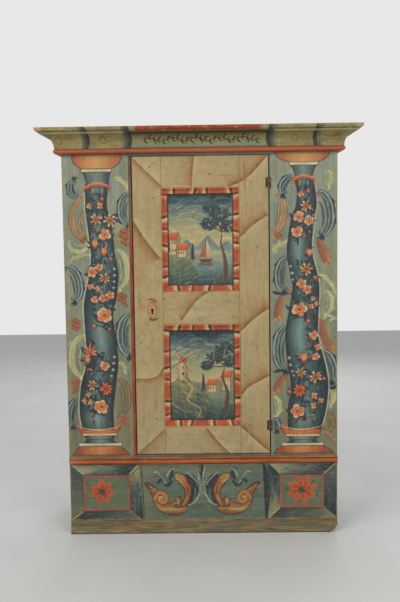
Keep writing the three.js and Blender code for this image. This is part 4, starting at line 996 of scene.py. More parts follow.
for side, facts in (("left", left_board), ("right", right_board)):
    left, right = facts["x"]
    piece = board(f"painted_{side}_front_board", left, right, FOOT, HEAD, FRONT, THICKNESS, 2.35)
    # The board's top runs on behind the cornice
    pick_faces(piece, 2)
    bpy.ops.mesh.extrude_region_move(TRANSFORM_OT_translate={"value": (0, 0, (BOARD_TOP - HEAD) / 1000)})
    bpy.ops.object.mode_set(mode="OBJECT")
    if side == "right":
        # Room for the hinges' knuckles
        for pin in PIN_HEIGHTS:
            low, high = (left - 5, FRONT - 5, pin - BELOW_PIN), (left + 5.95, FRONT + 8.4, pin + ABOVE_PIN)
            cut_away(piece, low, high)
    seed = facts["seed"]
    weather(piece, FRONT, (left, right, FOOT, BOARD_TOP), "Z", 0.6, seed)
    sheet = sheet_on(piece)
    pilaster_ground(sheet, left, right, seed)
    for number, marks in enumerate(facts["scrolls"]):
        scroll(sheet, *marks, seed + number)
    for paint, width, form, *routes in facts["strokes"]:
        for stroke in routes:
            brush(sheet, route(stroke), width, paint, form, 0.5, 0.93)
    for lumps in facts["tufts"]:
        tuft(sheet, lumps)
    for parts in facts["members"]:
        member(sheet, *parts)
    shaft = smooth_path(facts["shaft"][::-1], 16.0)
    column(sheet, shaft, facts["bare"], facts["light"])
    edge, shift = (1, -5) if side == "left" else (2, 5)
    brush(sheet, shaft[::-2, [edge, 0]] + (shift, 0), 4.2, (192, 192, 170), "line", 0.6, 0.85)
    column_rings(sheet, facts["ring"], facts["dish"])
    foliage(sheet, facts["flowers"], shaft, seed + 5)
    for number, (kind, x, z, size) in enumerate(facts["flowers"]):
        if kind not in (sprig, berry):
            leaves(sheet, x, z, size, 5 if size > 20 else 3, seed * 100 + number)
    for number, (kind, x, z, size) in enumerate(facts["flowers"]):
        kind(sheet, x, z, size, seed * 50 + number)
    if side == "left":
        fade = np.where(sheet["z"] < 1330, 0.8, 0.35)
        wash(sheet, (150, 70, 38), rise(sheet["x"], -313.5, -311.5) * fade)
    else:
        wash(sheet, (118, 134, 124), rise(sheet["x"], 316, 314) * 0.8)
    wash(sheet, (84, 92, 84), rise(sheet["z"], 1684, 1694) * 0.6)
    worn_edges(sheet, (left, right, FOOT, HEAD), 3.5, seed)
    finish = painted_pine(f"{side} pilaster paint", "Z", wear=0.45, shift=seed)
    put_up(piece, sheet, 12, finish, f"{side}_front_board")


# Plinth board: one wide pine board across the front, under the door. It is painted with a raised
# field and a flower at each end, shaded as if bevelled, and with two shell scrolls between them.
IVORY, AMBER, BRICK = (205, 202, 172), (204, 170, 108), (180, 78, 54)
# Strokes as width, paint, form and routes; shaded shapes as a name and an outline
left_shell = [
    (40, NAVY, "swell", (-79, 263, -52, 250, -36, 219, -38, 188, -62, 140)),
    (13, (122, 136, 114), "swell", (-39, 273, -20, 237, -16, 197, -26, 168, -55, 132)),
    (9, (96, 118, 112), "leaf", (-40, 215, -48, 146, 7)),
    (4, IVORY, "swell", (-77, 126, -41, 140, -17, 182), (-75, 281, -31, 237, -29, 215)),
    ("across", (-132, 263, -124, 276, -100, 272, -75, 254, -58, 226, -51, 194, -57, 164, -72, 132, -102, 117,
                -93, 146, -85, 176, -86, 198, -97, 220, -114, 238, -125, 247)),
    (9, (196, 104, 66), "leaf", (-114, 265, -68, 216, -64, 186, -71, 154)),
    (5, AMBER, "leaf", (-118, 252, -83, 216, -76, 190), (-72, 183, -88, 132, 5)),
    (4, (108, 84, 54), "leaf", (-98, 230, -83, 190, 6), (-118, 240, -95, 208, 1)),
    ("cone", (-264, 228, -253, 234, -239, 228, -211, 206, -179, 176, -204, 180, -222, 173, -228, 162,
              -240, 192)),
    (4, AMBER, "leaf", (-250, 225, -204, 188, -2)),
    (3, (108, 56, 38), "leaf", (-243, 210, -229, 184, 0), (-232, 210, -218, 188, 0)),
    ("down", (-224, 177, -228, 159, -223, 133, -206, 111, -181, 94, -145, 83, -110, 84, -81, 99,
              -72, 113, -79, 123, -120, 118, -127, 130, -109, 132, -99, 154, -108, 168, -126, 154,
              -144, 140, -170, 133, -191, 138, -203, 153, -206, 170)),
    (7, (160, 78, 62), "leaf", (-203, 148, -180, 125, -130, 132)),
    (7, AMBER, "leaf", (-205, 129, -177, 109, -116, 114)),
    (12, BRICK, "leaf", (-120, 97, -77, 112, -4)),
    (8, BRICK, "comma", (-144, 154, -130, 138, 1)),
    (8, AMBER, "comma", (-119, 158, -116, 125, 5)),
    (26, (72, 50, 36), "line", (-219, 160, -202, 186, -178, 180, -168, 158, -182, 142, -200, 150)),
    (20, (190, 134, 74), "line", (-219, 160, -202, 186, -178, 180, -168, 158, -182, 142, -200, 150)),
    (3, (92, 56, 38), "line", (-207, 156, -198, 173, -181, 168, -181, 155, -192, 157)),
    (12, (216, 168, 84), "swell", (-199, 152, -198, 166, -186, 164, -188, 156)),
    (15, NAVY, "comma", (-204, 233, -190, 247, -177, 229)),
    (18, NAVY, "swell", (-182, 229, -161, 218, -141, 241), (-153, 244, -138, 290, -3)),
    (4.4, IVORY, "comma", (-221, 277, -208, 282, -178, 245), (-164, 261, -133, 298, 6),
     (-178, 241, -168, 226, 0)),
    (3.2, NAVY, "comma", (-147, 301, -108, 302, 3), (-161, 296, -142, 303, 2)),
]
middle_leaves = [
    (17, NAVY, "leaf", (-23, 300, -8, 313, -4, 266)), (15, NAVY, "leaf", (-18, 290, 2, 240, 0)),
    (11, NAVY, "swell", (-34, 270, -18, 225, -28, 175), (22, 255, 16, 218, 57, 147)),
    (4.4, IVORY, "swell", (-23, 280, -15, 197, 2), (8, 307, 1, 229, -6), (48, 264, 21, 240, -3)),
    (3, (196, 186, 112), "swell", (-4, 226, 4, 211, 2, 186, -8, 190, -12, 211, -4, 226)),
    (5, (150, 138, 70), "leaf", (-10, 219, -9, 200, 0)), (3.2, NAVY, "leaf", (57, 271, 21, 247, -3)),
]
# Shading from end to end, those two ends in half widths and half heights, and the lie of the hatching
SHELL_SHAPES = {
    "across": (((172, 142, 82), (176, 122, 66), (160, 84, 48), (104, 54, 34)), (-0.35, 0), (0.55, 0), 110),
    "cone": (((104, 56, 36), (138, 78, 46), (160, 102, 58), (182, 128, 70)), (-0.55, 1), (0.4, -1), 160),
    "down": (((140, 78, 50), (178, 116, 64), (180, 140, 84), (100, 54, 36)), (0, 0.6), (0, -1), 0),
}


def shell_scroll(sheet, marks, way=1):
    """Lays a scroll's strokes and shaded shapes in their order, or turned over the board's middle."""
    for mark in marks:
        if mark[0] not in SHELL_SHAPES:
            width, paint, form, *routes = mark
            for stroke in routes:
                path = np.array(route(stroke), float) * (way, 1) + (5 * way - 5, 0)
                brush(sheet, path, width, paint, form, 0.5, 0.92)
            continue
        outline = np.array(route(mark[1]), float) * (way, 1) + (5 * way - 5, 0)
        low, high = outline.min(0), outline.max(0)
        middle, half = (low + high) / 2, (high - low) / 2 * (way, 1)
        paints, first, last, lie = SHELL_SHAPES[mark[0]]
        fill(sheet, outline, list(zip((0, 0.35, 0.7, 1), paints)),
             (middle + half * first, middle + half * last), 3.0)
        dabs = [(112, 68, 44), (196, 166, 104), (142, 84, 52), (92, 58, 40)]
        dapple(sheet, outline, dabs, 46, 24, 3.4, lie * way, 400 + len(outline), "comma", 0.55)
        brush(sheet, np.vstack([outline, outline[:1]]), 5, (52, 40, 34), "line", 0.6, 0.8)


def painted_bevels(sheet, outer, inner, tones):
    """Four shaded strips round a field. Corners run top left, top right, bottom right, bottom left."""
    for k, paints in enumerate(tones):
        strip = [outer[k], outer[(k + 1) % 4], inner[(k + 1) % 4], inner[k]]
        (left, low), (right, high) = strip[:2]
        fill(sheet, strip, list(zip((0, 0.25, 0.55, 0.85), paints)), strip[:2], 2.0)
        lie = math.degrees(math.atan2(high - low, right - left))
        dapple(sheet, strip, [paints[0], paints[3], paints[1]], 46, 90, 11, lie, 420 + k, "swell", 0.12)


def big_flower(sheet, centre, petals, reach, width, turn):
    """Red petals with a pale rim round a green heart, evenly spread from the angle turn."""
    x, z = centre
    for k in range(petals):
        angle = math.radians(turn + 360 * k / petals)
        belly, tip = beside(x, z, angle, reach * 0.6), beside(x, z, angle + 0.06, reach)
        brush(sheet, [centre, belly, tip], width + 4, (204, 146, 90), "swell", 0.3, 0.85)
        brush(sheet, [centre, belly, tip], width, (192, 80, 44), "swell", 0.4, 1.0, 0.25)
        brush(sheet, [belly, tip], width * 0.4, (212, 106, 60), "leaf", 0.6, 0.8)
        brush(sheet, [centre, belly], width * 0.3, (138, 52, 34), "leaf", 0.6, 0.8)
    blot(sheet, x, z, 17, 16, (104, 56, 36), 0.4, 0.95)
    blot(sheet, x, z, 13, 12, (66, 68, 54), 0.5)


plinth_box = (-SIDE, SIDE, 63.3, 319)
piece = board("painted_plinth_board", *plinth_box, FRONT, THICKNESS, 2.35)
weather(piece, FRONT, plinth_box, "X", 0.9, 41)
sheet = sheet_on(piece)
x, z = sheet["x"], sheet["z"]
wash(sheet, (96, 114, 98), 1.0)
mottle(sheet, ((126, 126, 96), 0.6, 240, 50, 42, 1), ((84, 108, 102), 0.65, 160, 40, 43, 1),
       ((140, 138, 100), 0.4, 200, 9, 44, 2), ((66, 84, 74), 0.4, 120, 12, 49, 2))
wash(sheet, (136, 130, 96), rise(x, -200, -260) * rise(x, -290, -270) * 0.4)
# Along the top, right, lower and left edges of a field
FIELD_SHADOWS = ((34, 50, 60), (30, 44, 54), (52, 64, 64), (36, 56, 66))
left_block = [(-600, 319), (-287, 319), (-273, 61), (-600, 61)]
left_field = [(-536, 264), (-337, 264), (-336, 111), (-533, 110)]
painted_bevels(sheet, left_block, left_field, (
    ((176, 172, 130), (146, 150, 118), (112, 124, 112), (30, 42, 50)),
    ((190, 182, 138), (140, 140, 104), (66, 82, 86), (30, 42, 50)),
    ((120, 118, 92), (96, 104, 88), (64, 76, 76), (44, 52, 54)),
    ((118, 112, 74), (108, 114, 90), (88, 102, 92), (62, 78, 80)),
))
right_block = [(290, 319), (600, 319), (600, 66), (292, 64)]
right_field = [(347, 259), (535, 259), (535, 118), (348, 118)]
painted_bevels(sheet, right_block, right_field, (
    ((192, 184, 138), (150, 152, 116), (82, 100, 100), (32, 44, 52)),
    ((112, 112, 82), (90, 100, 90), (54, 68, 74), (32, 42, 50)),
    ((158, 152, 110), (112, 116, 90), (76, 88, 84), (52, 64, 68)),
    ((180, 170, 120), (132, 134, 98), (64, 84, 86), (34, 50, 58)),
))
fill(sheet, [(266, 319), (278, 312), (296, 262), (301, 180), (288, 64), (277, 64)],
     [(0, (36, 44, 48)), (1, (58, 68, 70))], ((272, 200), (302, 200)))
for points, width, colour in (
        ((-590, 64, -280, 62), 6, (50, 54, 46)), ((300, 68, 590, 68), 4, (64, 70, 60)),
        ((-280, 310, -266, 62), 6, (44, 54, 54)), ((-536, 108, -562, 84), 9, (62, 76, 76))):
    brush(sheet, route(points), width, colour, "swell", 0.65, 0.85)
for outer, field in ((left_block, left_field), (right_block, right_field)):
    # Mitre lines, each a pale one beside a dark one, then a shadow round the field
    for (out_x, out_z), (in_x, in_z) in zip(outer, field):
        lift = 4 if out_z > in_z else 0
        brush(sheet, [(out_x, out_z + lift), (in_x, in_z + lift)], 6, IVORY, "swell", 0.65, 0.85)
        brush(sheet, [(out_x + 7, out_z - 5), (in_x + 6, in_z - 4)], 4.5, NAVY, "swell", 0.65, 0.85)
    for (start_x, start_z), (end_x, end_z), dark in zip(field, field[1:] + field[:1], FIELD_SHADOWS):
        away_x, away_z = np.sign(end_z - start_z) * -7, np.sign(end_x - start_x) * 5
        sunk = [(start_x - away_x, start_z + away_z), (end_x - away_x, end_z + away_z)]
        brush(sheet, sunk, 44, dark, "swell", 0.9, 0.5)
        brush(sheet, sunk, 8, dark, "swell", 0.7, 0.85)
    fill(sheet, field, (102, 118, 94))
    for start, end in zip(field, field[1:] + field[:1]):
        brush(sheet, [start, end], 10, (178, 84, 58), "line", 0.4, 0.95)
        brush(sheet, [start, end], 4, (196, 112, 78), "swell", 0.8, 0.6)
for tail in ((-484, 246, -461, 224, 3), (-517, 230, -494, 202, -5), (-404, 222, -427, 206, -3),
             (-480, 160, -514, 158, -8), (-425, 136, -436, 158, 3), (415, 248, 424, 222, -1),
             (497, 240, 472, 219, 6), (366, 208, 394, 186, -3), (425, 134, 439, 156, -2),
             (480, 163, 519, 182, -9)):
    brush(sheet, route(tail), 8, (42, 56, 54), "leaf", 0.5)
    brush(sheet, [(a + 3, b - 3) for a, b in route(tail)], 2.4, (180, 176, 140), "leaf", 0.6, 0.7)
big_flower(sheet, (-457, 193), 7, 58, 27, -7)
big_flower(sheet, (441, 194), 8, 66, 29, 15)
shell_scroll(sheet, middle_leaves)
shell_scroll(sheet, left_shell)
shell_scroll(sheet, left_shell, -1)
# Old varnish and grime
wash(sheet, (42, 36, 20), 0.06 + 0.06 * (np.abs(x) > 280) + 0.12 * patches(x, z, 90, 40, 47) ** 2)
wash(sheet, (168, 150, 104), 0.5 * (patches(x, z, 12, 4, 48) > 0.93))
worn_edges(sheet, plinth_box, 4.5, 46)
put_up(piece, sheet, 12, painted_pine("plinth board paint", "X", wear=0.5, shift=3.0),
       "plinth_board")


# Plinth moulding and base rail: a half-round with a fillet, painted red, planted on top of the
# plinth board; and the thick bottom rail, its paint all but gone, rotted at its lower right corner.


def run_moulding(name, section, start, length, pitch):
    """A length of moulding along X from its closed section of (y, z) points, in millimetres."""
    bpy.ops.object.select_all(action="DESELECT")
    bpy.ops.mesh.primitive_circle_add(vertices=len(section), radius=0.01)
    piece = bpy.context.object
    piece.name = piece.data.name = name
    piece.data.vertices.foreach_set("co", np.array([(start, y, z) for y, z in section]).ravel() / 1000)
    sweep = piece.modifiers.new("sweep", "SCREW")
    sweep.axis = "X"
    sweep.angle = 0
    sweep.screw_offset = length / 1000
    sweep.steps = sweep.render_steps = max(2, round(length / pitch))
    bpy.ops.object.modifier_apply(modifier="sweep")
    bpy.ops.object.mode_set(mode="EDIT")
    bpy.ops.mesh.select_mode(type="EDGE")
    bpy.ops.mesh.select_all(action="DESELECT")
    bpy.ops.mesh.select_non_manifold()
    bpy.ops.mesh.fill_holes(sides=0)
    turn_faces_out()
    return piece


def curve(y, z, deep, high, first, last, count):
    """Points on a quarter or half round of a section; angles in degrees."""
    return [(y - deep * math.cos(math.radians(a)), z + high * math.sin(math.radians(a)))
            for a in np.linspace(first, last, count)]


def finely(points, step):
    """The same outline with points no further apart than the step."""
    fine = []
    for (ay, az), (by, bz) in zip(points, points[1:]):
        count = max(1, math.ceil(math.hypot(by - ay, bz - az) / step))
        fine += [(ay + (by - ay) * k / count, az + (bz - az) * k / count) for k in range(count)]
    return fine + [points[-1]]


def roughen(piece, depth, seed, size=(60, 9), reach=6.0, face=FRONT):
    """Dents and ripples pressed into the visible side of a moulding."""
    x, y, z = vertices(piece).T
    front = rise(y, face + reach, face + reach - 3)
    dents = depth * (patches(x, z, *size, seed) + 0.5 * patches(x, z, size[0] / 6, size[1] / 2, seed + 1))
    move_vertices(piece, x, y + dents * front, z)


roll = curve(FRONT - 4.3, 331.5, 8.0, 12.5, -90, 90, 15)
fillet = [(FRONT - 12.3, 345), (FRONT - 12.3, 351.2), (FRONT - 11.5, 352), (FRONT - 0.3, 352)]
section = finely([(FRONT - 0.3, 319)] + roll + fillet, 2.4)
piece = run_moulding("painted_plinth_moulding", section, -SIDE, 2 * SIDE, 4.0)
roughen(piece, 0.8, 51, (90, 12), 0.0)
sheet = sheet_on(piece)
x, z = sheet["x"], sheet["z"]
# Red, with painted shade at the roll's foot and under the fillet, painted highlights on its crest and fillet
sheet["paint"][:] = shaded([(319, (84, 32, 12)), (323, (140, 58, 18)), (330, (198, 104, 40)),
                            (335, (194, 100, 38)), (341, (152, 62, 20)), (344.5, (92, 40, 18)),
                            (346, (180, 96, 40)), (352, (194, 124, 62))], z)
mottle(sheet, ((210, 132, 66), 0.5, 160, 5, 52, 2), ((112, 50, 34), 0.45, 60, 7, 53, 2))
wash(sheet, (178, 158, 106), 0.75 * rise(x, -520, -580) * patches(x, z, 40, 10, 54))
wash(sheet, (186, 160, 104), 0.5 * rise(x, 430, 550) * (z > 340) * patches(x, z, 60, 10, 55))
wash(sheet, (160, 130, 82), 0.8 * (patches(x, z, 26, 6, 56) > 0.88))
wash(sheet, (58, 22, 0), 0.16)
red_paint = painted_pine("red moulding paint", "X", wear=0.4, shift=11.0, gloss=0.5)
put_up(piece, sheet, 200, red_paint, "plinth_moulding")

hollow = curve(FRONT - 8, 51.8, -8, 14, 0, -90, 8)
back = FRONT + THICKNESS
section = finely([(back, 63), (FRONT, 63)] + hollow + [(FRONT - 8, 0)], 2.6) + [(back, 0)]
piece = run_moulding("worn_base_rail", section, -SIDE, 2 * SIDE, 4.0)
roughen(piece, 2.2, 61, (120, 8), 10.0)
# The lower right corner has rotted away
x, y, z = vertices(piece).T
ragged = 6 * patches(z, y, 9, 9, 62)
limit = SIDE - 29 * rise(z, 27, 0) - ragged * (z < 34)
move_vertices(piece, np.minimum(x, limit), y, z)
sheet = sheet_on(piece)
x, z = sheet["x"], sheet["z"]
wash(sheet, (126, 114, 82), 1.0)
mottle(sheet, ((176, 162, 122), 0.75, 120, 5, 63, 1.5), ((150, 106, 58), 0.8, 90, 9, 64, 2),
       ((84, 94, 84), 0.7, 70, 10, 65, 2), ((66, 54, 38), 0.6, 50, 4, 66, 2))
wash(sheet, (60, 48, 36), rise(z, 7, 1) * 0.8)
wash(sheet, (70, 60, 44), hump(z, 44, 6) * 0.35)
finish = painted_pine("weathered base pine", "X", wear=0.9, shift=17.0, gloss=0.7)
put_up(piece, sheet, 20, finish, "base_rail")


# Rails, strip and bead round the door opening: straight pine pieces above and below the door, in
# plain grey-blue, and a rounded bead left of it, red below and rubbed down to grey-brown above.
for node_name, along, shift in (("head_rail", "X", 71.0), ("threshold_rail", "X", 74.0),
                                ("door_head_strip", "X", 77.0)):
    finish_node(node_name, painted_pine(
        f"{node_name} paint", along, (0.098, 0.112, 0.098), (0.155, 0.165, 0.132), 0.45, shift))

bead = curve(FRONT + 3, -302.8, 5.9, 5.85, -90, 90, 11)
section = [(back, -296.95), (back, -308.65)] + bead
piece = run_moulding("painted_jamb_bead", section, 361.3, 1324.4, 4.0)
across, deep, tall = vertices(piece).T
move_vertices(piece, tall, deep, across)
piece.data.flip_normals()
sheet = sheet_on(piece)
x, z = sheet["x"], sheet["z"]
wash(sheet, (150, 66, 36), 1.0)
wash(sheet, (98, 94, 72), rise(z, 1310, 1430) * 0.92)
wash(sheet, (70, 78, 70), rise(z, 1470, 1630) * 0.5)
mottle(sheet, ((196, 106, 66), 0.5, 8, 90, 72, 2), ((74, 42, 32), 0.5, 6, 60, 73, 2))
wash(sheet, (42, 36, 32), rise(x, -299.5, -297.5) * 0.6)
finish = painted_pine("jamb bead paint", "Z", wear=0.5, shift=21.0)
put_up(piece, sheet, 200, finish, "lock_jamb_bead")


# Cornice: a red half-round at the neck, then a deep cove with a fillet and a lip, mitred at the
# corners. The front is painted with a pale frieze between shaded breaks, and a red lip over it.
for part, along in (("front", "X"), ("left", "Y"), ("right", "Y")):
    finish_node(f"neck_bead_{part}", painted_pine(
        f"neck bead {part} paint", along, (0.42, 0.095, 0.032), (0.30, 0.07, 0.026), 0.5, 80.0, 0.48, 0.35))

cove = curve(FRONT - 81, 1717, 56, 63, 180, 90, 22)
lip = curve(FRONT - 81, 1800, 16, 16, -90, 0, 8)
back_edge = FRONT - 0.3
visible = [(FRONT - 25, 1717.2)] + cove[1:] + [(FRONT - 81, 1784)] + lip[1:] + [(FRONT - 97, 1804)]
section = [(back_edge, 1804), (back_edge, 1717)] + finely(visible, 2.5)
piece = run_moulding("painted_cornice_front", section, -1.0, 2.0, 0.0036)
x, y, z = vertices(piece).T
# Each end is mitred, so the further a point stands forward, the longer the moulding is there
proud = np.clip(FRONT - y, 0, None)
move_vertices(piece, x * (SIDE + proud), y, z)
roughen(piece, 0.7, 81, (140, 16), -24.0)
sheet = sheet_on(piece)
x, z = sheet["x"], sheet["z"]
wash(sheet, (136, 126, 76), 1.0)
mottle(sheet, ((160, 140, 84), 0.7, 60, 24, 82, 1), ((112, 116, 82), 0.6, 90, 16, 83, 1),
       ((168, 130, 72), 0.5, 36, 14, 84, 2), ((78, 84, 62), 0.5, 46, 22, 91, 2),
       ((176, 158, 104), 0.5, 28, 9, 92, 2))
# Frieze between the inner breaks
bow = 16 * np.clip((1752 - z) / 35, -1, 1) ** 2
frieze = rise(x, bow - 309, bow - 306) * rise(x, 303 - bow, 300 - bow) * (z < 1782)
tone = shaded([(1717, (96, 104, 86)), (1728, (128, 134, 100)), (1750, (140, 134, 90)), (1768, (128, 112, 70)),
               (1779, (62, 62, 50)), (1784, (48, 50, 44))], z)
wash(sheet, tone, frieze)
# Shaded breaks: outer pair and inner pair
for middle, reach, turned in ((-490, 15, 1), (-310, 17, 1), (312, 17, -1), (510, 15, -1)):
    lean = middle + turned * (9 * np.sin((z - 1717) / 24) - 4)
    u = (x - lean) / reach * turned
    tone = shaded([(-1.2, (122, 118, 80)), (-0.6, (92, 96, 82)), (0.2, (64, 68, 60)), (0.85, (38, 40, 36)),
                   (1.0, (64, 62, 44))], u)
    wash(sheet, tone, rise(np.abs(u), 1.25, 1) * 0.95)
pale = hump(z, 1779.5, 5) * (np.abs(x) > 322)
wash(sheet, (196, 182, 128), pale * (0.6 + 0.4 * patches(x, z, 50, 9, 85)))
wash(sheet, (70, 68, 48), hump(z, 1786.5, 2.5) * 0.6 * (np.abs(x) > 330))
red = rise(x, -272, -266) * rise(x, 262, 256) * (z > 1785)
wash(sheet, (146, 50, 14), red)
wash(sheet, (176, 84, 34), red * 0.5 * patches(x, z, 120, 5, 86))
wash(sheet, (92, 34, 20), red * 0.4 * patches(x, z, 60, 6, 89) ** 2)
for middle in (-603, -412, 413, 590):
    # A painted ring, like a boss
    loop = [(middle + 15 * math.cos(a), 1752 + 14 * math.sin(a)) for a in np.linspace(0.3, 6.4, 13)]
    brush(sheet, loop, 4.6, (88, 82, 50), "line", 0.9, 0.9)
    brush(sheet, [(a - 2, b - 2.5) for a, b in loop[5:10]], 3, (172, 160, 108), "swell", 0.7, 0.7)
for middle in (-510, -345, 345, 512):
    wash(sheet, (186, 176, 120), hump(x, middle, 4) * 0.4 * (z < 1776))
# A running vine of dark strokes along the frieze
run = np.arange(-236, 284, 20.0)
vine = [(a, 1752 + 6 * math.sin(k * 1.25)) for k, a in enumerate(run)]
brush(sheet, vine, 4.2, (40, 34, 26), "line", 0.6, 0.9)
for k, (a, b) in enumerate(vine[:-1]):
    side = 1 if k % 2 else -1
    brush(sheet, [(a, b), (a + 8, b + side * 11), (a + 18, b + side * 13)], 8, (42, 36, 28),
          "leaf", 0.5, 0.92)
    brush(sheet, [(a + 3, b), (a + 5, b - side * 9), (a + 12, b - side * 12)], 5, (52, 42, 30),
          "comma", 0.5, 0.9)
    if k % 5 == 2:
        blot(sheet, a + 9, b + side * 20, 4, 4, (104, 52, 30), 0.5)
rubbed = rise(np.abs(x) + 8 * patches(x, z, 9, 9, 87), 668, 674) * (z > 1786)
wash(sheet, (190, 148, 110), 0.85 * rubbed)
wash(sheet, (178, 150, 100), 0.7 * (z > 1782) * (patches(x, z, 20, 6, 88) > 0.8))
# Its upper side was left bare
wash(sheet, (146, 126, 92), (z > 1803.5) * 0.94)
finish = painted_pine("cornice paint", "X", wear=0.5, shift=31.0)
put_up(piece, sheet, 200, finish, "cornice_front")
for side in ("left", "right"):
    finish_node(f"cornice_{side}", painted_pine(
        f"cornice {side} paint", "Y", (0.22, 0.195, 0.08), (0.29, 0.25, 0.115), 0.5, 90.0))


# Door frame: two stiles and three rails of pine, tenoned and pegged, painted cream and veined in
# brown like marble. Some veins run on from one piece to the next across the joints.


def fold(sheet, stroke, width, strength=0.8):
    """A marbled vein: a crisp edge, a brown shade that fades to the left of it, pale to its right."""
    path = smooth_path(route(stroke), 8.0)
    near = spots_within(sheet, path.min(0) - width * 4, path.max(0) + width * 4)
    if not len(near):
        return
    x, z = sheet["x"][near], sheet["z"][near]
    away, side, run = nearest_on(x, z, path)
    gap = side * away
    ends = np.where((run <= 0) | (run >= run.max()), np.clip(1 - away / 12, 0, 1), 1.0) * strength
    shade = np.clip((gap + 2.5) / 5, 0, 1) * np.exp(-np.clip(gap, 0, None) / (width * 1.15)) * ends
    pale = np.clip((2.5 - gap) / 5, 0, 1) * np.exp(np.clip(gap, None, 0) / 16) * 0.55 * ends
    shade *= 0.8 + 0.5 * patches(x, z, 12, 12, 95)
    tone = shaded([(0, (108, 66, 34)), (0.4, (136, 94, 48)), (1.2, (152, 116, 68))],
                  np.clip(gap / width, 0, 1))
    lay(sheet, near, tone, np.clip(shade, 0, 1))
    lay(sheet, near, (198, 178, 130), pale)


# Read off the photograph: veins as route, width and strength; chips as x, height and size;
# stains as x, height, half width, half height and strength; cracks and smudges as route, width, colour
VEINS = (
    ((-167, 1557, -284, 1672, 0), 22, 0.85), ((-34, 1554, -28, 1626, -22, 1684), 26, 0.85),
    ((126, 1546, 208, 1586, 291, 1674), 30, 0.95), ((-177, 1243, -290, 1406, 6), 40, 0.9),
    ((178, 1331, 297, 1423, 6), 30, 0.95), ((-84, 968, -21, 1049, 34, 1090), 24, 0.9),
    ((180, 918, 305, 1018, 6), 34, 0.95), ((180, 631, 210, 665, 299, 713), 28, 0.95),
    ((-173, 756, -199, 719, -238, 707, -292, 708), 30, 0.7), ((126, 361, 24, 478, 5), 22, 0.9),
    ((-170, 478, -294, 368, 0), 34, 0.6), ((170, 486, 291, 374, -1), 30, 0.9),
)
CHIPS = (
    (44, 1604, 7), (-217, 1638, 6), (-202, 1504, 5), (218, 1573, 4), (249, 1286, 6), (-205, 526, 6),
    (210, 492, 6), (-33, 1022, 4), (141, 983, 5), (113, 1073, 4), (288, 810, 4), (-269, 1058, 4),
    (-268, 867, 5), (189, 717, 4), (294, 1045, 5), (82, 439, 4), (208, 381, 4), (-164, 1062, 6),
    (-154, 1058, 5),
)
STAINS = (
    (-215, 1015, 34, 46, 0.55), (-208, 1046, 22, 14, 0.7), (-210, 974, 24, 14, 0.6),
    (-265, 1030, 18, 26, 0.5), (-267, 919, 16, 24, 0.3), (199, 1548, 8, 60, 0.5),
    (249, 1286, 10, 9, 0.7), (-36, 1576, 22, 30, 0.3), (-273, 1171, 30, 60, 0.35),
)
CRACKS = (
    ((197, 1682, 195, 1631, 194, 1511), 3.6, (94, 54, 36)), ((203, 1474, 202, 1420, 2), 2.4, (110, 80, 54)),
    ((200, 1374, 198, 1341, 0), 2.6, (80, 60, 44)), ((-236, 1060, -192, 1050, 5), 9, (74, 54, 34)),
    ((-222, 1044, -200, 1048, 3), 7, (96, 68, 42)), ((-206, 1038, -192, 1016, 2), 6, (110, 76, 46)),
    ((-230, 972, -190, 976, -5), 10, (66, 48, 32)), ((-226, 988, -224, 966, 3), 7, (90, 64, 40)),
    ((-232, 1034, -230, 988, -4), 3.4, (120, 84, 52)), ((-200, 1034, -201, 988, 4), 3.4, (124, 88, 56)),
    ((42, 1046, 137, 1047, 3), 1.8, (120, 92, 62)), ((246, 855, 246, 826, 0), 2.2, (96, 72, 50)),
    ((247, 809, 259, 801, 0), 2.6, (90, 66, 46)), ((52, 1602, 139, 1598, -3), 2.0, (112, 98, 72)),
    ((-48, 1563, -23, 1563, 0), 4, (160, 80, 50)),
    ((-237, 851, -259, 822, -256, 774, -217, 793, -223, 832), 2.2, (130, 112, 78)),
)
KEYHOLE = -215.95
PANEL_LEFT, PANEL_RIGHT = -177.65, 180.75
door_boards = {
    "door_lock_stile": (-293.95, -167.95, 364, 1684, "Z"),
    "door_hinge_stile": (171.05, 300.05, 364, 1684, "Z"),
    "door_top_rail": (-167.65, 170.75, 1546, 1684, "X"), "door_lock_rail": (-167.65, 170.75, 946, 1094, "X"),
    "door_bottom_rail": (-167.65, 170.75, 364, 490, "X"),
}
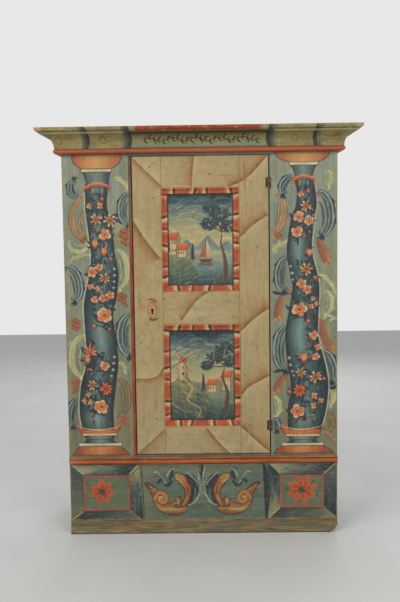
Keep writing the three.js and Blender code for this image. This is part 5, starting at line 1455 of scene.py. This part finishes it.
for number, (node_name, (left, right, foot, head, along)) in enumerate(door_boards.items()):
    piece = board(f"painted_{node_name}", left, right, foot, head, FRONT, THICKNESS, 2.7)
    for low, high in ((480, 956), (1084, 1556)):
        # The groove that holds the panel
        if low < head and high > foot:
            cut_away(piece, (PANEL_LEFT - 0.3, FRONT + 12, low), (PANEL_RIGHT + 0.3, FRONT + 20, high))
    if node_name == "door_hinge_stile":
        for pin in PIN_HEIGHTS:
            cut_away(piece, (286.5, FRONT - 5, pin - BELOW_PIN), (310, FRONT + 12, pin + ABOVE_PIN))
    if node_name == "door_lock_stile":
        bpy.ops.object.select_all(action="DESELECT")
        bpy.ops.mesh.primitive_cylinder_add(
            vertices=24, radius=0.006, depth=0.08, location=(KEYHOLE / 1000, (FRONT + 14) / 1000, 1.012),
            rotation=(math.pi / 2, 0, 0),
        )
        keyhole = bpy.context.object
        bpy.ops.object.transform_apply()
        subtract(piece, keyhole)
        cut_away(piece, (KEYHOLE - 3, FRONT - 10, 999), (KEYHOLE + 3, FRONT + 40, 1010))
        cut_away(piece, (KEYHOLE - 4.5, FRONT - 10, 994), (KEYHOLE + 4.5, FRONT + 40, 1000))
    weather(piece, FRONT, (left, right, foot, head), along, 0.5, 100 + number)
    sheet = sheet_on(piece)
    x, z = sheet["x"], sheet["z"]
    wide, long = (46, 300) if along == "Z" else (300, 46)
    wash(sheet, (166, 148, 106), 1.0)
    mottle(sheet, ((176, 160, 116), 0.7, wide, long, 101 + number, 1),
           ((148, 132, 92), 0.6, wide * 1.4, long * 0.6, 111 + number, 1),
           ((160, 124, 80), 0.45, 70, 70, 121, 1.5))
    wash(sheet, (146, 136, 104), rise(z, 800, 300) * 0.35)
    mottle(sheet, ((182, 168, 128), 0.4, wide / 5, long / 2, 131 + number, 2),
           ((138, 124, 84), 0.4, 13, 19, 136 + number, 2), ((178, 150, 108), 0.4, 24, 18, 138 + number, 2))
    for stroke, width, strength in VEINS:
        fold(sheet, stroke, width, strength)
    for spot_x, spot_z, size in CHIPS:
        blot(sheet, spot_x, spot_z, size, size * 0.6, (74, 56, 38), 0.6, 0.8)
    for *stain, strength in STAINS:
        blot(sheet, *stain, (172, 106, 58), 1.0, strength)
    for stroke, width, colour in CRACKS:
        brush(sheet, route(stroke), width, colour, "swell", 0.7, 0.8)
    edge = from_edges(x, z, (left, right, foot, head))
    wash(sheet, (84, 64, 42), np.clip(1.6 - edge / 1.5, 0, 1) * (0.8 if number == 1 else 0.45))
    worn_edges(sheet, (left, right, foot, head), 1.6, 140 + number, (150, 122, 80))
    finish = painted_pine(f"{node_name} paint", along, wear=0.35, shift=41.0 + number, grain=0.2)
    put_up(piece, sheet, 12, finish, node_name, "door")


# Door panels: thin pine boards held in the grooves, bevelled behind, each painted with a landscape
# of its own under a dark upper edge: a lake with a boat and houses, and a hill with a windmill.


def plot(sheet, points, low, high, count=0, length=24, width=6, angle=0, form="leaf"):
    """A flat shape shaded from its foot to its head, with short strokes of the tones between."""
    outline = route(points)
    heights = points[1::2]
    fill(sheet, outline, [(0, low), (1, high)], ((0, min(heights)), (0, max(heights))), 3.0)
    low, high = np.array(low, float), np.array(high, float)
    mixed = [low + (high - low) * share for share in (-0.2, 0.35, 0.75, 1.2)]
    dapple(sheet, outline, mixed, count, length, width, angle, 300 + count, form, 0.55)


def broad_tree(sheet, trunk, crowns, seed):
    """A trunk with its shaded side, boughs to each crown, and crowns of dark leaves with grey lights."""
    chance = np.random.default_rng(seed)
    trunk = route(trunk)
    brush(sheet, trunk, 20, (74, 50, 42), "comma", 0.4)
    brush(sheet, [(x - 3, z) for x, z in trunk], 7, (118, 82, 62), "comma", 0.7, 0.7)
    for x, z, size in crowns:
        fork = trunk[-1] if z > trunk[-1][1] else trunk[-2]
        brush(sheet, [fork, ((fork[0] + x) / 2 + 4, (fork[1] + z) / 2 - 4), (x, z)], 6,
              (66, 48, 42), "comma", 0.6)
        for k in range(80):
            turn, reach = any_angle(chance), size * math.sqrt(chance.random())
            dx, dz = math.cos(turn) * reach, math.sin(turn) * reach * 0.66
            tip = beside(x + dx, z + dz, math.atan2(dz + size * 0.25, dx), 9)
            paint = (40, 52, 56) if k % 3 else (52, 64, 64)
            brush(sheet, [(x + dx * 0.7, z + dz * 0.7), tip], 10, paint, "leaf", 0.5, 0.9)
        for _ in range(16):
            turn, reach = 0.5 + chance.random() * 2.2, size * (0.4 + 0.5 * chance.random())
            dx, dz = math.cos(turn) * reach, math.sin(turn) * reach * 0.66
            brush(sheet, [(x + dx, z + dz), (x + dx + 5, z + dz + 4)], 3.6, (92, 110, 104), "comma", 0.7, 0.7)


def spruce(sheet, x, z, high, wide):
    """A slim fir of nine tiers."""
    for k in range(9):
        level = z + high * (0.08 + 0.1 * k)
        reach = wide * (1 - k / 9.5)
        for way in (-reach, reach):
            brush(sheet, [(x, level + high * 0.1), (x + way, level - 2)], high * 0.09,
                  (42, 54, 58), "comma", 0.5)
    brush(sheet, [(x, z), (x, z + high * 1.04)], 4, (48, 52, 52), "comma", 0.6)


def house(sheet, x, z, wide, high, roof):
    """A plastered house, its gable in the shade, under a tiled roof, with rows of windows."""
    corner, right, eaves = x + wide * 0.68, x + wide, z + high
    ridge = (corner + right) / 2, eaves + roof
    front = [(x, z), (corner, z), (corner, eaves), (x, eaves)]
    fill(sheet, front, [(0, (136, 120, 86)), (0.3, (186, 164, 116)), (1, (186, 164, 116))],
         ((x, z), (corner, z)))
    fill(sheet, [(corner, z), (right, z), (right, eaves), ridge, (corner, eaves)], (134, 118, 84))
    slope = [(x - 4, eaves - 2), (corner, eaves - 2), ridge, (x + 8, ridge[1])]
    fill(sheet, slope, [(0, (174, 80, 48)), (1, (204, 112, 68))], ((x, eaves), (x, ridge[1])))
    for k in range(5):
        tile = x + 4 + k * (corner - x) / 5
        brush(sheet, [(tile, eaves), (tile + 7, ridge[1] - 2)], 2, (138, 62, 42), "line", 0.8, 0.7)
    brush(sheet, slope[:3] + [(right + 3, eaves - 3)], 2.8, (92, 50, 38), "line", 0.6, 0.9)
    storeys = max(1, int(high / 26))
    for row in range(storeys):
        level = z + high * (row + 0.55) / storeys
        for pane in np.arange(x + 7, corner - 5, 12):
            brush(sheet, [(pane, level - 4), (pane, level + 4)], 4.4, (58, 54, 50), "line", 0.4)
            brush(sheet, [(pane + 2.6, level - 4), (pane + 2.6, level + 4)], 1.8, (210, 194, 150),
                  "line", 0.7, 0.6)
    for post in (x, corner, right):
        brush(sheet, [(post, z), (post, eaves)], 2.2, (96, 70, 52), "line", 0.7, 0.8)


def birds(sheet, x, z, count, paint):
    """A loose row of birds, each two wings in one stroke."""
    for k in range(count):
        wing_x, wing_z = x + k * 22, z - (k * 37) % 26
        wings = [(wing_x - 6, wing_z + 3), (wing_x, wing_z - 1), (wing_x + 6, wing_z + 4)]
        brush(sheet, wings, 2.2, paint, "swell", 0.7, 0.75)


def sky_and_land(sheet, horizon, seed):
    """A warm sky that darkens to the top edge, above blue-green ground."""
    x, z = sheet["x"], sheet["z"]
    sky = shaded([(horizon, (188, 144, 92)), (horizon + 34, (180, 158, 104)), (horizon + 90, (150, 146, 102)),
                  (316, (104, 118, 100)), (354, (64, 84, 84)), (378, (38, 50, 56)), (400, (26, 34, 40))],
                 z + 9 * np.sin(x / 46 + seed))
    land = shaded([(0, (42, 60, 72)), (24, (52, 76, 84)), (56, (82, 104, 92)), (horizon - 10, (122, 130, 90)),
                   (horizon, (138, 134, 94))], z)
    above = np.clip((z - horizon - 5 * np.sin(x / 40)) / 4, 0, 1)[:, None]
    sheet["paint"][:] = sky * above + land * (1 - above)
    cloud = [(196, 178, 134), (170, 140, 104), (140, 148, 126), (184, 158, 120)]
    dusk = [(70, 96, 104), (104, 126, 122), (52, 74, 82)]
    grass = [(56, 84, 88), (110, 124, 92), (74, 96, 92), (144, 144, 102)]
    for low, high, paints, count, length, width in (
            (horizon + 20, 340, cloud, 90, 58, 11), (310, 380, dusk, 60, 66, 9),
            (0, horizon - 8, grass, 120, 46, 7)):
        across = [(-148, low), (150, low), (150, high), (-148, high)]
        dapple(sheet, across, paints, count, length, width, 2, seed + count, "swell", 0.45)


def lake_scene(sheet):
    """Hills behind a lake with a sailing boat, and farmhouses on its shore."""
    sky_and_land(sheet, 150, 301)
    for peak, level, reach in ((-60, 50, 74), (34, 70, 66), (118, 44, 60)):
        half = reach / 2
        hill = (peak - reach, 150, peak - half, 150 + level * 0.5, peak, 150 + level,
                peak + half, 150 + level * 0.45, peak + reach, 150)
        plot(sheet, hill, (124, 134, 118), (86, 108, 114), 26, 26, 6, -60)
    # Water, boat with two sails, and its reflection
    plot(sheet, (-148, 152, 150, 150, 150, 80, 40, 54, -60, 70, -148, 58), (78, 106, 112),
         (166, 160, 118), 90, 44, 4)
    plot(sheet, (-8, 114, 56, 116, 44, 100, 4, 100), (78, 46, 36), (120, 66, 44))
    plot(sheet, (26, 122, 56, 124, 27, 202), (160, 138, 102), (206, 186, 138))
    plot(sheet, (20, 122, -4, 124, 20, 190), (150, 72, 46), (186, 96, 58))
    brush(sheet, [(23, 116), (23, 206)], 3, (60, 44, 36), "line", 0.6)
    plot(sheet, (-10, 84, 58, 84, 52, 98, -4, 98), (84, 84, 78), (100, 96, 84), 16, 26, 3)
    # Shore with farmhouses, then a tree on the near bank
    shore = (-148, 0, 10, 0, -6, 40, -34, 94, -64, 130, -100, 154, -148, 158)
    plot(sheet, shore, (46, 66, 68), (134, 134, 88), 80, 26, 6, 20, "comma")
    house(sheet, -142, 136, 54, 66, 30)
    house(sheet, -104, 124, 62, 34, 26)
    spruce(sheet, -146, 134, 150, 17)
    spruce(sheet, -34, 104, 78, 14)
    plot(sheet, (150, 0, 40, 0, 66, 34, 106, 52, 150, 60), (40, 56, 62), (98, 106, 72), 40,
         18, 6, 60, "comma")
    crowns = ((88, 312, 46), (40, 268, 38), (124, 258, 36), (46, 338, 28))
    broad_tree(sheet, (112, 30, 108, 110, 92, 180, 96, 232), crowns, 331)
    birds(sheet, -96, 304, 5, (58, 58, 54))


def windmill(sheet, x, base):
    """A tapered tower with a red cap and four sails of laths."""
    tower = [(x - 24, base), (x + 24, base), (x + 15, base + 78), (x - 15, base + 78)]
    fill(sheet, tower, rounded((112, 88, 66), (190, 170, 122), 0.3), ((x - 24, base), (x + 24, base)))
    cap = [(x - 19, base + 76), (x + 19, base + 76), (x + 13, base + 98), (x, base + 106),
           (x - 13, base + 98)]
    fill(sheet, cap, rounded((140, 64, 42), (196, 104, 62), 0.3), ((x - 19, base), (x + 19, base)))
    for level, size in ((26, 5), (54, 3.6)):
        blot(sheet, x, base + level, size, size * 1.5, (58, 50, 44), 0.4)
    hub = np.array([x, base + 86.0])
    for degrees in (34, 124, 214, 304):
        turn = math.radians(degrees)
        along, over = np.array(beside(0, 0, turn, 1)), np.array(beside(0, 0, turn + math.pi / 2, 11))
        sail = [hub + along * 14, hub + along * 60, hub + along * 60 + over, hub + along * 14 + over]
        fill(sheet, sail, (186, 166, 122), None, 2.0, 0.75)
        for reach in range(14, 61, 9):
            lath = [hub + along * reach, hub + along * reach + over]
            brush(sheet, lath, 1.8, (92, 66, 50), "line", 0.7, 0.85)
        brush(sheet, [hub, hub + along * 62], 3.2, (66, 50, 42), "line", 0.6)


def windmill_scene(sheet):
    """A windmill on a hill, with a path down to a farm."""
    sky_and_land(sheet, 140, 341)
    far = (-148, 140, -148, 162, -60, 180, 30, 156, 96, 174, 150, 162, 150, 140)
    plot(sheet, far, (122, 130, 102), (88, 110, 114), 44, 36, 6, 10)
    hill = (-148, 0, -148, 156, -110, 186, -64, 190, -16, 152, 40, 96, 84, 0)
    plot(sheet, hill, (42, 60, 62), (142, 134, 88), 130, 30, 7, -40, "comma")
    windmill(sheet, -84, 182)
    # Path, farm, and a tree on the near bank
    path = [(-76, 182), (-46, 140), (-66, 90), (-8, 46), (-26, 0)]
    brush(sheet, path, 15, (170, 150, 104), "comma", 0.6, 0.85)
    brush(sheet, [(x - 5, z - 1) for x, z in path], 4, (112, 98, 70), "comma", 0.8, 0.7)
    house(sheet, 20, 126, 62, 32, 26)
    house(sheet, 84, 134, 60, 58, 28)
    spruce(sheet, 6, 122, 84, 14)
    plot(sheet, (52, 0, 150, 0, 150, 74, 112, 70, 80, 44), (40, 54, 60), (92, 100, 70), 42,
         20, 6, 50, "comma")
    crowns = ((104, 318, 46), (58, 280, 38), (128, 262, 32), (22, 244, 24))
    broad_tree(sheet, (104, 44, 112, 120, 92, 190, 104, 240), crowns, 351)
    birds(sheet, -110, 338, 4, (150, 148, 122))


BEVEL = 42
PANEL_WIDTH = PANEL_RIGHT - PANEL_LEFT
for name, foot, head, scene in (("upper", 1084.3, 1555.7, lake_scene),
                                ("lower", 480.3, 955.7, windmill_scene)):
    piece = board(f"painted_door_{name}_panel", PANEL_LEFT, PANEL_RIGHT, foot, head, FRONT + 12.3, 7.4, 1.75)
    # Bevel behind: the back is opened, and its edge is pulled out and drawn in before it is closed
    pick_faces(piece, 1)
    bpy.ops.mesh.delete(type="ONLY_FACE")
    bpy.ops.mesh.select_mode(type="EDGE")
    bpy.ops.mesh.select_non_manifold()
    bpy.ops.mesh.extrude_region_move(TRANSFORM_OT_translate={"value": (0, 0.0056, 0)})
    bpy.ops.transform.resize(
        value=(1 - 2 * BEVEL / PANEL_WIDTH, 1, 1 - 2 * BEVEL / (head - foot)),
        center_override=((PANEL_LEFT + PANEL_RIGHT) / 2000, (FRONT + 25.3) / 1000, (foot + head) / 2000),
    )
    bpy.ops.mesh.edge_face_add()
    turn_faces_out()
    weather(piece, FRONT + 12.3, (PANEL_LEFT, PANEL_RIGHT, foot, head), "Z", 0.35, 180 + len(name))
    sheet = sheet_on(piece)
    # The picture is laid out in millimetres from the upper edge of the moulding below it
    scene({**sheet, "z": sheet["z"] - foot - 36})
    x, z = sheet["x"], sheet["z"]
    # Painted shade on the picture along the moulding's inner edge, all round
    edge = from_edges(x, z, (PANEL_LEFT + 36.05, PANEL_RIGHT - 36.05, foot + 35.7, head - 35.7))
    wash(sheet, (36, 40, 40), np.clip(1.2 - edge / 4.5, 0, 1) * 0.85)
    wash(sheet, (150, 140, 104), 0.25 * patches(x, z, 7, 90, 191) ** 3)
    finish = painted_pine(f"{name} picture paint", "Z", wear=0.18, shift=61.0, gloss=0.5, grain=0.08)
    put_up(piece, sheet, 6, finish, f"door_{name}_panel", "door")


# Panel mouldings: hollow mouldings of pine, mitred and glued in round each panel. They are red,
# broken by dabs of cream that each have a dark shadow beside them.
# One dab's strokes: how far along, width, paint and form
DAB = (
    (18, 10, (190, 104, 66), "line"), (-15, 12, (186, 122, 78), "line"), (-5, 14, (204, 178, 124), "line"),
    (7, 13, (58, 50, 36), "swell"),
)
for number, (name, foot, head) in enumerate((("upper", 1094, 1546), ("lower", 490, 946))):
    left, right = -167.8, 170.9
    sides = {
        "top": (right - left, (left, head), (1, 0), (0, -1)),
        "bottom": (right - left, (left, foot), (1, 0), (0, 1)),
        "left": (head - foot, (left, foot), (0, 1), (1, 0)),
        "right": (head - foot, (right, foot), (0, 1), (-1, 0)),
    }
    for turn, (side, (length, corner, run, inward)) in enumerate(sides.items()):
        hollow = [(FRONT - 2 + 9 * math.sin(a), 23 - 18 * math.cos(a))
                  for a in np.linspace(0, math.pi / 2, 9)]
        face = [(FRONT - 1.4, 0.3), (FRONT - 2, 0.9)] + hollow + [(FRONT + 8.4, 26)]
        section = [(FRONT + 12, 26), (FRONT + 12, 0.3)] + finely(face, 2.0)
        piece = run_moulding(f"painted_{name}_moulding_{side}", section, 0.0, length - 0.6, 1.9)
        along, y, across = vertices(piece).T
        along = 0.3 + across + along * (length - 0.6 - 2 * across) / (length - 0.6)
        x = corner[0] + run[0] * along + inward[0] * across
        z = corner[1] + run[1] * along + inward[1] * across
        y = y + 0.35 * patches(x, z, 18, 18, 200 + turn) * (y < FRONT + 8)
        move_vertices(piece, x, y, z)
        bpy.ops.object.mode_set(mode="EDIT")
        turn_faces_out()
        sheet = sheet_on(piece)
        wash(sheet, (166, 66, 32), 1.0)
        mottle(sheet, ((188, 112, 86), 0.55, 21, 23, 171 + turn + number, 2),
               ((186, 88, 44), 0.6, 40, 40, 210 + turn, 1), ((128, 56, 38), 0.5, 26, 26, 220 + turn, 2))
        wash(sheet, (140, 64, 42), rise(across, 19, 25) * 0.5)
        wash(sheet, (206, 152, 92), np.clip(1.5 - np.abs(across - 2) / 2, 0, 1) * 0.5)
        dabs = 4 if run[0] else 6
        for k in range(dabs):
            place = length * (k + 0.62 + 0.2 * math.sin(k * 2.3 + turn + number)) / (dabs + 0.25)
            lean = 4 * math.sin(k * 1.7 + turn * 2.1 + number)
            grow = 0.8 + 0.35 * math.sin(k * 3.1 + turn + 2 * number)
            ends = [(place + lean, 1), (place, 13), (place - lean, 25)]
            for shift, width, colour, form in DAB:
                path = [np.array(corner) + np.array(run) * (far + shift) + np.array(inward) * deep
                        for far, deep in ends]
                brush(sheet, path, width * grow, colour, form, 0.5, 0.9)
        # Painted shade along the inner edge, where the moulding meets the picture
        wash(sheet, (40, 40, 38), rise(across, 24.6, 26) * 0.8)
        grain_runs = "X" if run[0] else "Z"
        finish = painted_pine(
            f"{name} {side} moulding paint", grain_runs, wear=0.4, shift=71.0 + turn, gloss=0.5)
        put_up(piece, sheet, 200, finish, f"{name}_panel_moulding_{side}", "door")


# Ironwork: hinge straps and leaves, lock case, bolt and keeper. Hand-forged, once blackened, now
# brown with rust that lies in spots on the darker iron.
iron, tree, shader = new_finish("forged iron")
rust = noise(tree, stretched(tree, "X", 60.0, 60.0), 1.0, 8.0, 0.65)
pits = noise(tree, stretched(tree, "X", 420.0, 420.0, 4.0), 1.0, 4.0)
colour = ramp(tree, rust, [(0.32, (0.045, 0.038, 0.034)), (0.5, (0.085, 0.05, 0.034)),
                           (0.62, (0.19, 0.08, 0.035)), (0.75, (0.12, 0.055, 0.03))])
colour = blend_colours(tree, "MULTIPLY", 0.5, colour, ramp(tree, pits, [(0.3, 0.45), (0.6, 1.0)]))
tree.links.new(colour, shader.inputs["Base Color"])
tree.links.new(ramp(tree, rust, [(0.35, 0.5), (0.6, 0.85)]), shader.inputs["Roughness"])
tree.links.new(ramp(tree, rust, [(0.4, 0.75), (0.6, 0.15)]), shader.inputs["Metallic"])
emboss(tree, shader, pits, 0.45, 0.0007)
for node_name in (
    "upper_hinge_door_strap", "upper_hinge_case_leaf", "lower_hinge_door_strap", "lower_hinge_case_leaf",
    "lock_case", "lock_bolt", "lock_keeper",
):
    finish_node(node_name, iron)


# Pegs and nails: whittled pine pegs hold the tenons of the door, and hand-forged nails with
# faceted heads hold the hinges, the cleats behind the sides, and the front boards.


def fastener(name, sides, head, tip, proud, shank):
    """A peg or nail that points up along Z: a faceted head on the surface at zero, a shank below."""
    bpy.ops.object.select_all(action="DESELECT")
    bpy.ops.mesh.primitive_cone_add(
        vertices=sides, radius1=head / 2000, radius2=tip / 2000, depth=proud / 1000,
        location=(0, 0, proud / 2000),
    )
    piece = bpy.context.object
    piece.name = name
    bpy.ops.object.transform_apply()
    for face in piece.data.polygons:
        face.select = face.normal.z < -0.9
    bpy.ops.object.mode_set(mode="EDIT")
    bpy.ops.mesh.select_mode(type="FACE")
    bpy.ops.mesh.inset(thickness=head / 5000)
    bpy.ops.mesh.extrude_region_move(TRANSFORM_OT_translate={"value": (0, 0, -shank / 1000)})
    bpy.ops.object.mode_set(mode="OBJECT")
    return piece


def drive(pattern, name, places, facing, finish, body):
    """Drives a copy of the pattern in at each place, each turned its own way, and joins them."""
    chance = np.random.default_rng(len(places))
    bpy.ops.object.select_all(action="DESELECT")
    for place in places:
        copy = pattern.copy()
        copy.data = pattern.data.copy()
        bpy.context.collection.objects.link(copy)
        turn = Matrix.Rotation(chance.random() * math.pi, 4, "Z")
        turn = turn @ Matrix.Scale(0.9 + 0.2 * chance.random(), 4)
        stand = Vector(facing).to_track_quat("Z", "X").to_matrix().to_4x4()
        copy.data.transform(Matrix.Translation(Vector(place) / 1000) @ stand @ turn)
        copy.select_set(True)
        bpy.context.view_layer.objects.active = copy
    bpy.ops.object.join()
    piece = bpy.context.object
    piece.name = piece.data.name = name
    piece.data.materials.append(finish)
    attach(piece, body)


peg = fastener("peg", 8, 9.5, 8.2, 0.8, 20)
rail_ends = [(x, z) for x in (-203, 206) for z in (392, 462, 976, 1068, 1576, 1654)]
peg_paint = painted_pine("peg paint", "Y", (0.36, 0.27, 0.13), (0.24, 0.17, 0.08), 0.5, 9.0)
drive(peg, "door_pegs", [(x, FRONT, z) for x, z in rail_ends], (0, -1, 0), peg_paint, "door")
bpy.data.objects.remove(peg)

nail = fastener("nail", 6, 8.5, 3.0, 1.5, 4)
strap_face = -161.2
for hinge, level in (("upper", 1573.1), ("lower", 499.1)):
    drive(nail, f"{hinge}_strap_nails", [(x, strap_face, level) for x in (145, 205, 262)], (0, 1, 0),
          iron, "door")
for hinge, level in (("upper", 1553.0), ("lower", 479.0)):
    drive(nail, f"{hinge}_leaf_nails", [(x, strap_face, level) for x in (326, 350)], (0, 1, 0),
          iron, "case")
cleat_levels = (345, 700, 1055, 1410)
for side, x in (("left", -SIDE), ("right", SIDE)):
    places = [(x, y, z + 3 * math.sin(y)) for z in cleat_levels for y in (-104, 8, 96, 232)]
    drive(nail, f"{side}_side_nails", places, (x, 0, 0), iron, "case")
bpy.data.objects.remove(nail)

brad = fastener("brad", 6, 4.4, 2.4, 0.7, 3)
edge_levels = (398, 640, 884, 1128, 1372, 1616)
drive(brad, "front_board_nails", [(x, FRONT, z) for x in (-588, 588) for z in edge_levels], (0, -1, 0),
      iron, "case")
bpy.data.objects.remove(brad)


# Floor, light and camera: a pale floor, soft lamps in front and behind, and the camera where the
# photographer stood, a little right of the middle and above the door's lock.
bpy.ops.object.select_all(action="DESELECT")
bpy.ops.mesh.primitive_plane_add(size=14, location=(0, 0, 0))
floor = bpy.context.object
floor.name = "studio_floor"
floor_finish, tree, shader = new_finish("studio floor")
mottled = noise(tree, stretched(tree, "X", 3.0, 3.0), 1.0, 3.0)
tree.links.new(ramp(tree, mottled, [(0.3, (0.59, 0.595, 0.575)), (0.7, (0.63, 0.635, 0.615))]),
               shader.inputs["Base Color"])
shader.inputs["Roughness"].default_value = 0.7
floor.data.materials.append(floor_finish)

room = bpy.data.worlds.new("room")
bpy.context.scene.world = room
room.use_nodes = True
tree = room.node_tree
seen = put_node(tree, "ShaderNodeLightPath")
directly = put_node(
    tree, "ShaderNodeMath", links={0: seen.outputs["Is Camera Ray"], 1: seen.outputs["Is Glossy Ray"]},
    operation="MAXIMUM",
)
shown = put_node(
    tree, "ShaderNodeMath", links={0: directly.outputs[0], 1: seen.outputs["Is Transmission Ray"]},
    operation="MAXIMUM",
)
tree.links.new(ramp(tree, shown.outputs[0], [(0.0, (0.47, 0.475, 0.485)), (1.0, (0.80, 0.805, 0.80))]),
               tree.nodes["Background"].inputs["Color"])

for lamp_name, place, aim, wide, power in (
    ("window lamp", (-2.6, -3.6, 3.4), (0, 0, 1.0), 2.6, 107),
    ("front lamp", (2.4, -4.2, 2.6), (0, 0, 0.9), 3.0, 82),
    ("back lamp", (0.5, 3.8, 3.0), (0, 0, 1.0), 3.0, 60),
):
    lamp = bpy.data.objects.new(lamp_name, bpy.data.lights.new(lamp_name, "AREA"))
    lamp.data.size = wide
    lamp.data.energy = power
    lamp.location = place
    aim_line = [a - b for a, b in zip(aim, place)]
    flat = math.hypot(aim_line[0], aim_line[1])
    lamp.rotation_euler = (math.atan2(flat, -aim_line[2]), 0, math.atan2(-aim_line[0], aim_line[1]))
    bpy.context.collection.objects.link(lamp)

camera = bpy.data.objects.new("camera", bpy.data.cameras.new("camera"))
camera.data.sensor_fit = "VERTICAL"
camera.data.sensor_height = 36
camera.data.lens = 49.99
camera.location = (0.043, -3.8605, 1.374)
bpy.context.collection.objects.link(camera)
bpy.context.scene.camera = camera
turn_left, tilt_down, lean = math.radians(0.74), math.radians(5.04), math.radians(-0.78)
camera.rotation_mode = "QUATERNION"
aimed = Euler((0, 0, turn_left)).to_quaternion() @ Euler((math.pi / 2 - tilt_down, 0, 0)).to_quaternion()
camera.rotation_quaternion = aimed @ Euler((0, 0, lean)).to_quaternion()
bpy.context.scene.view_settings.view_transform = "Standard"
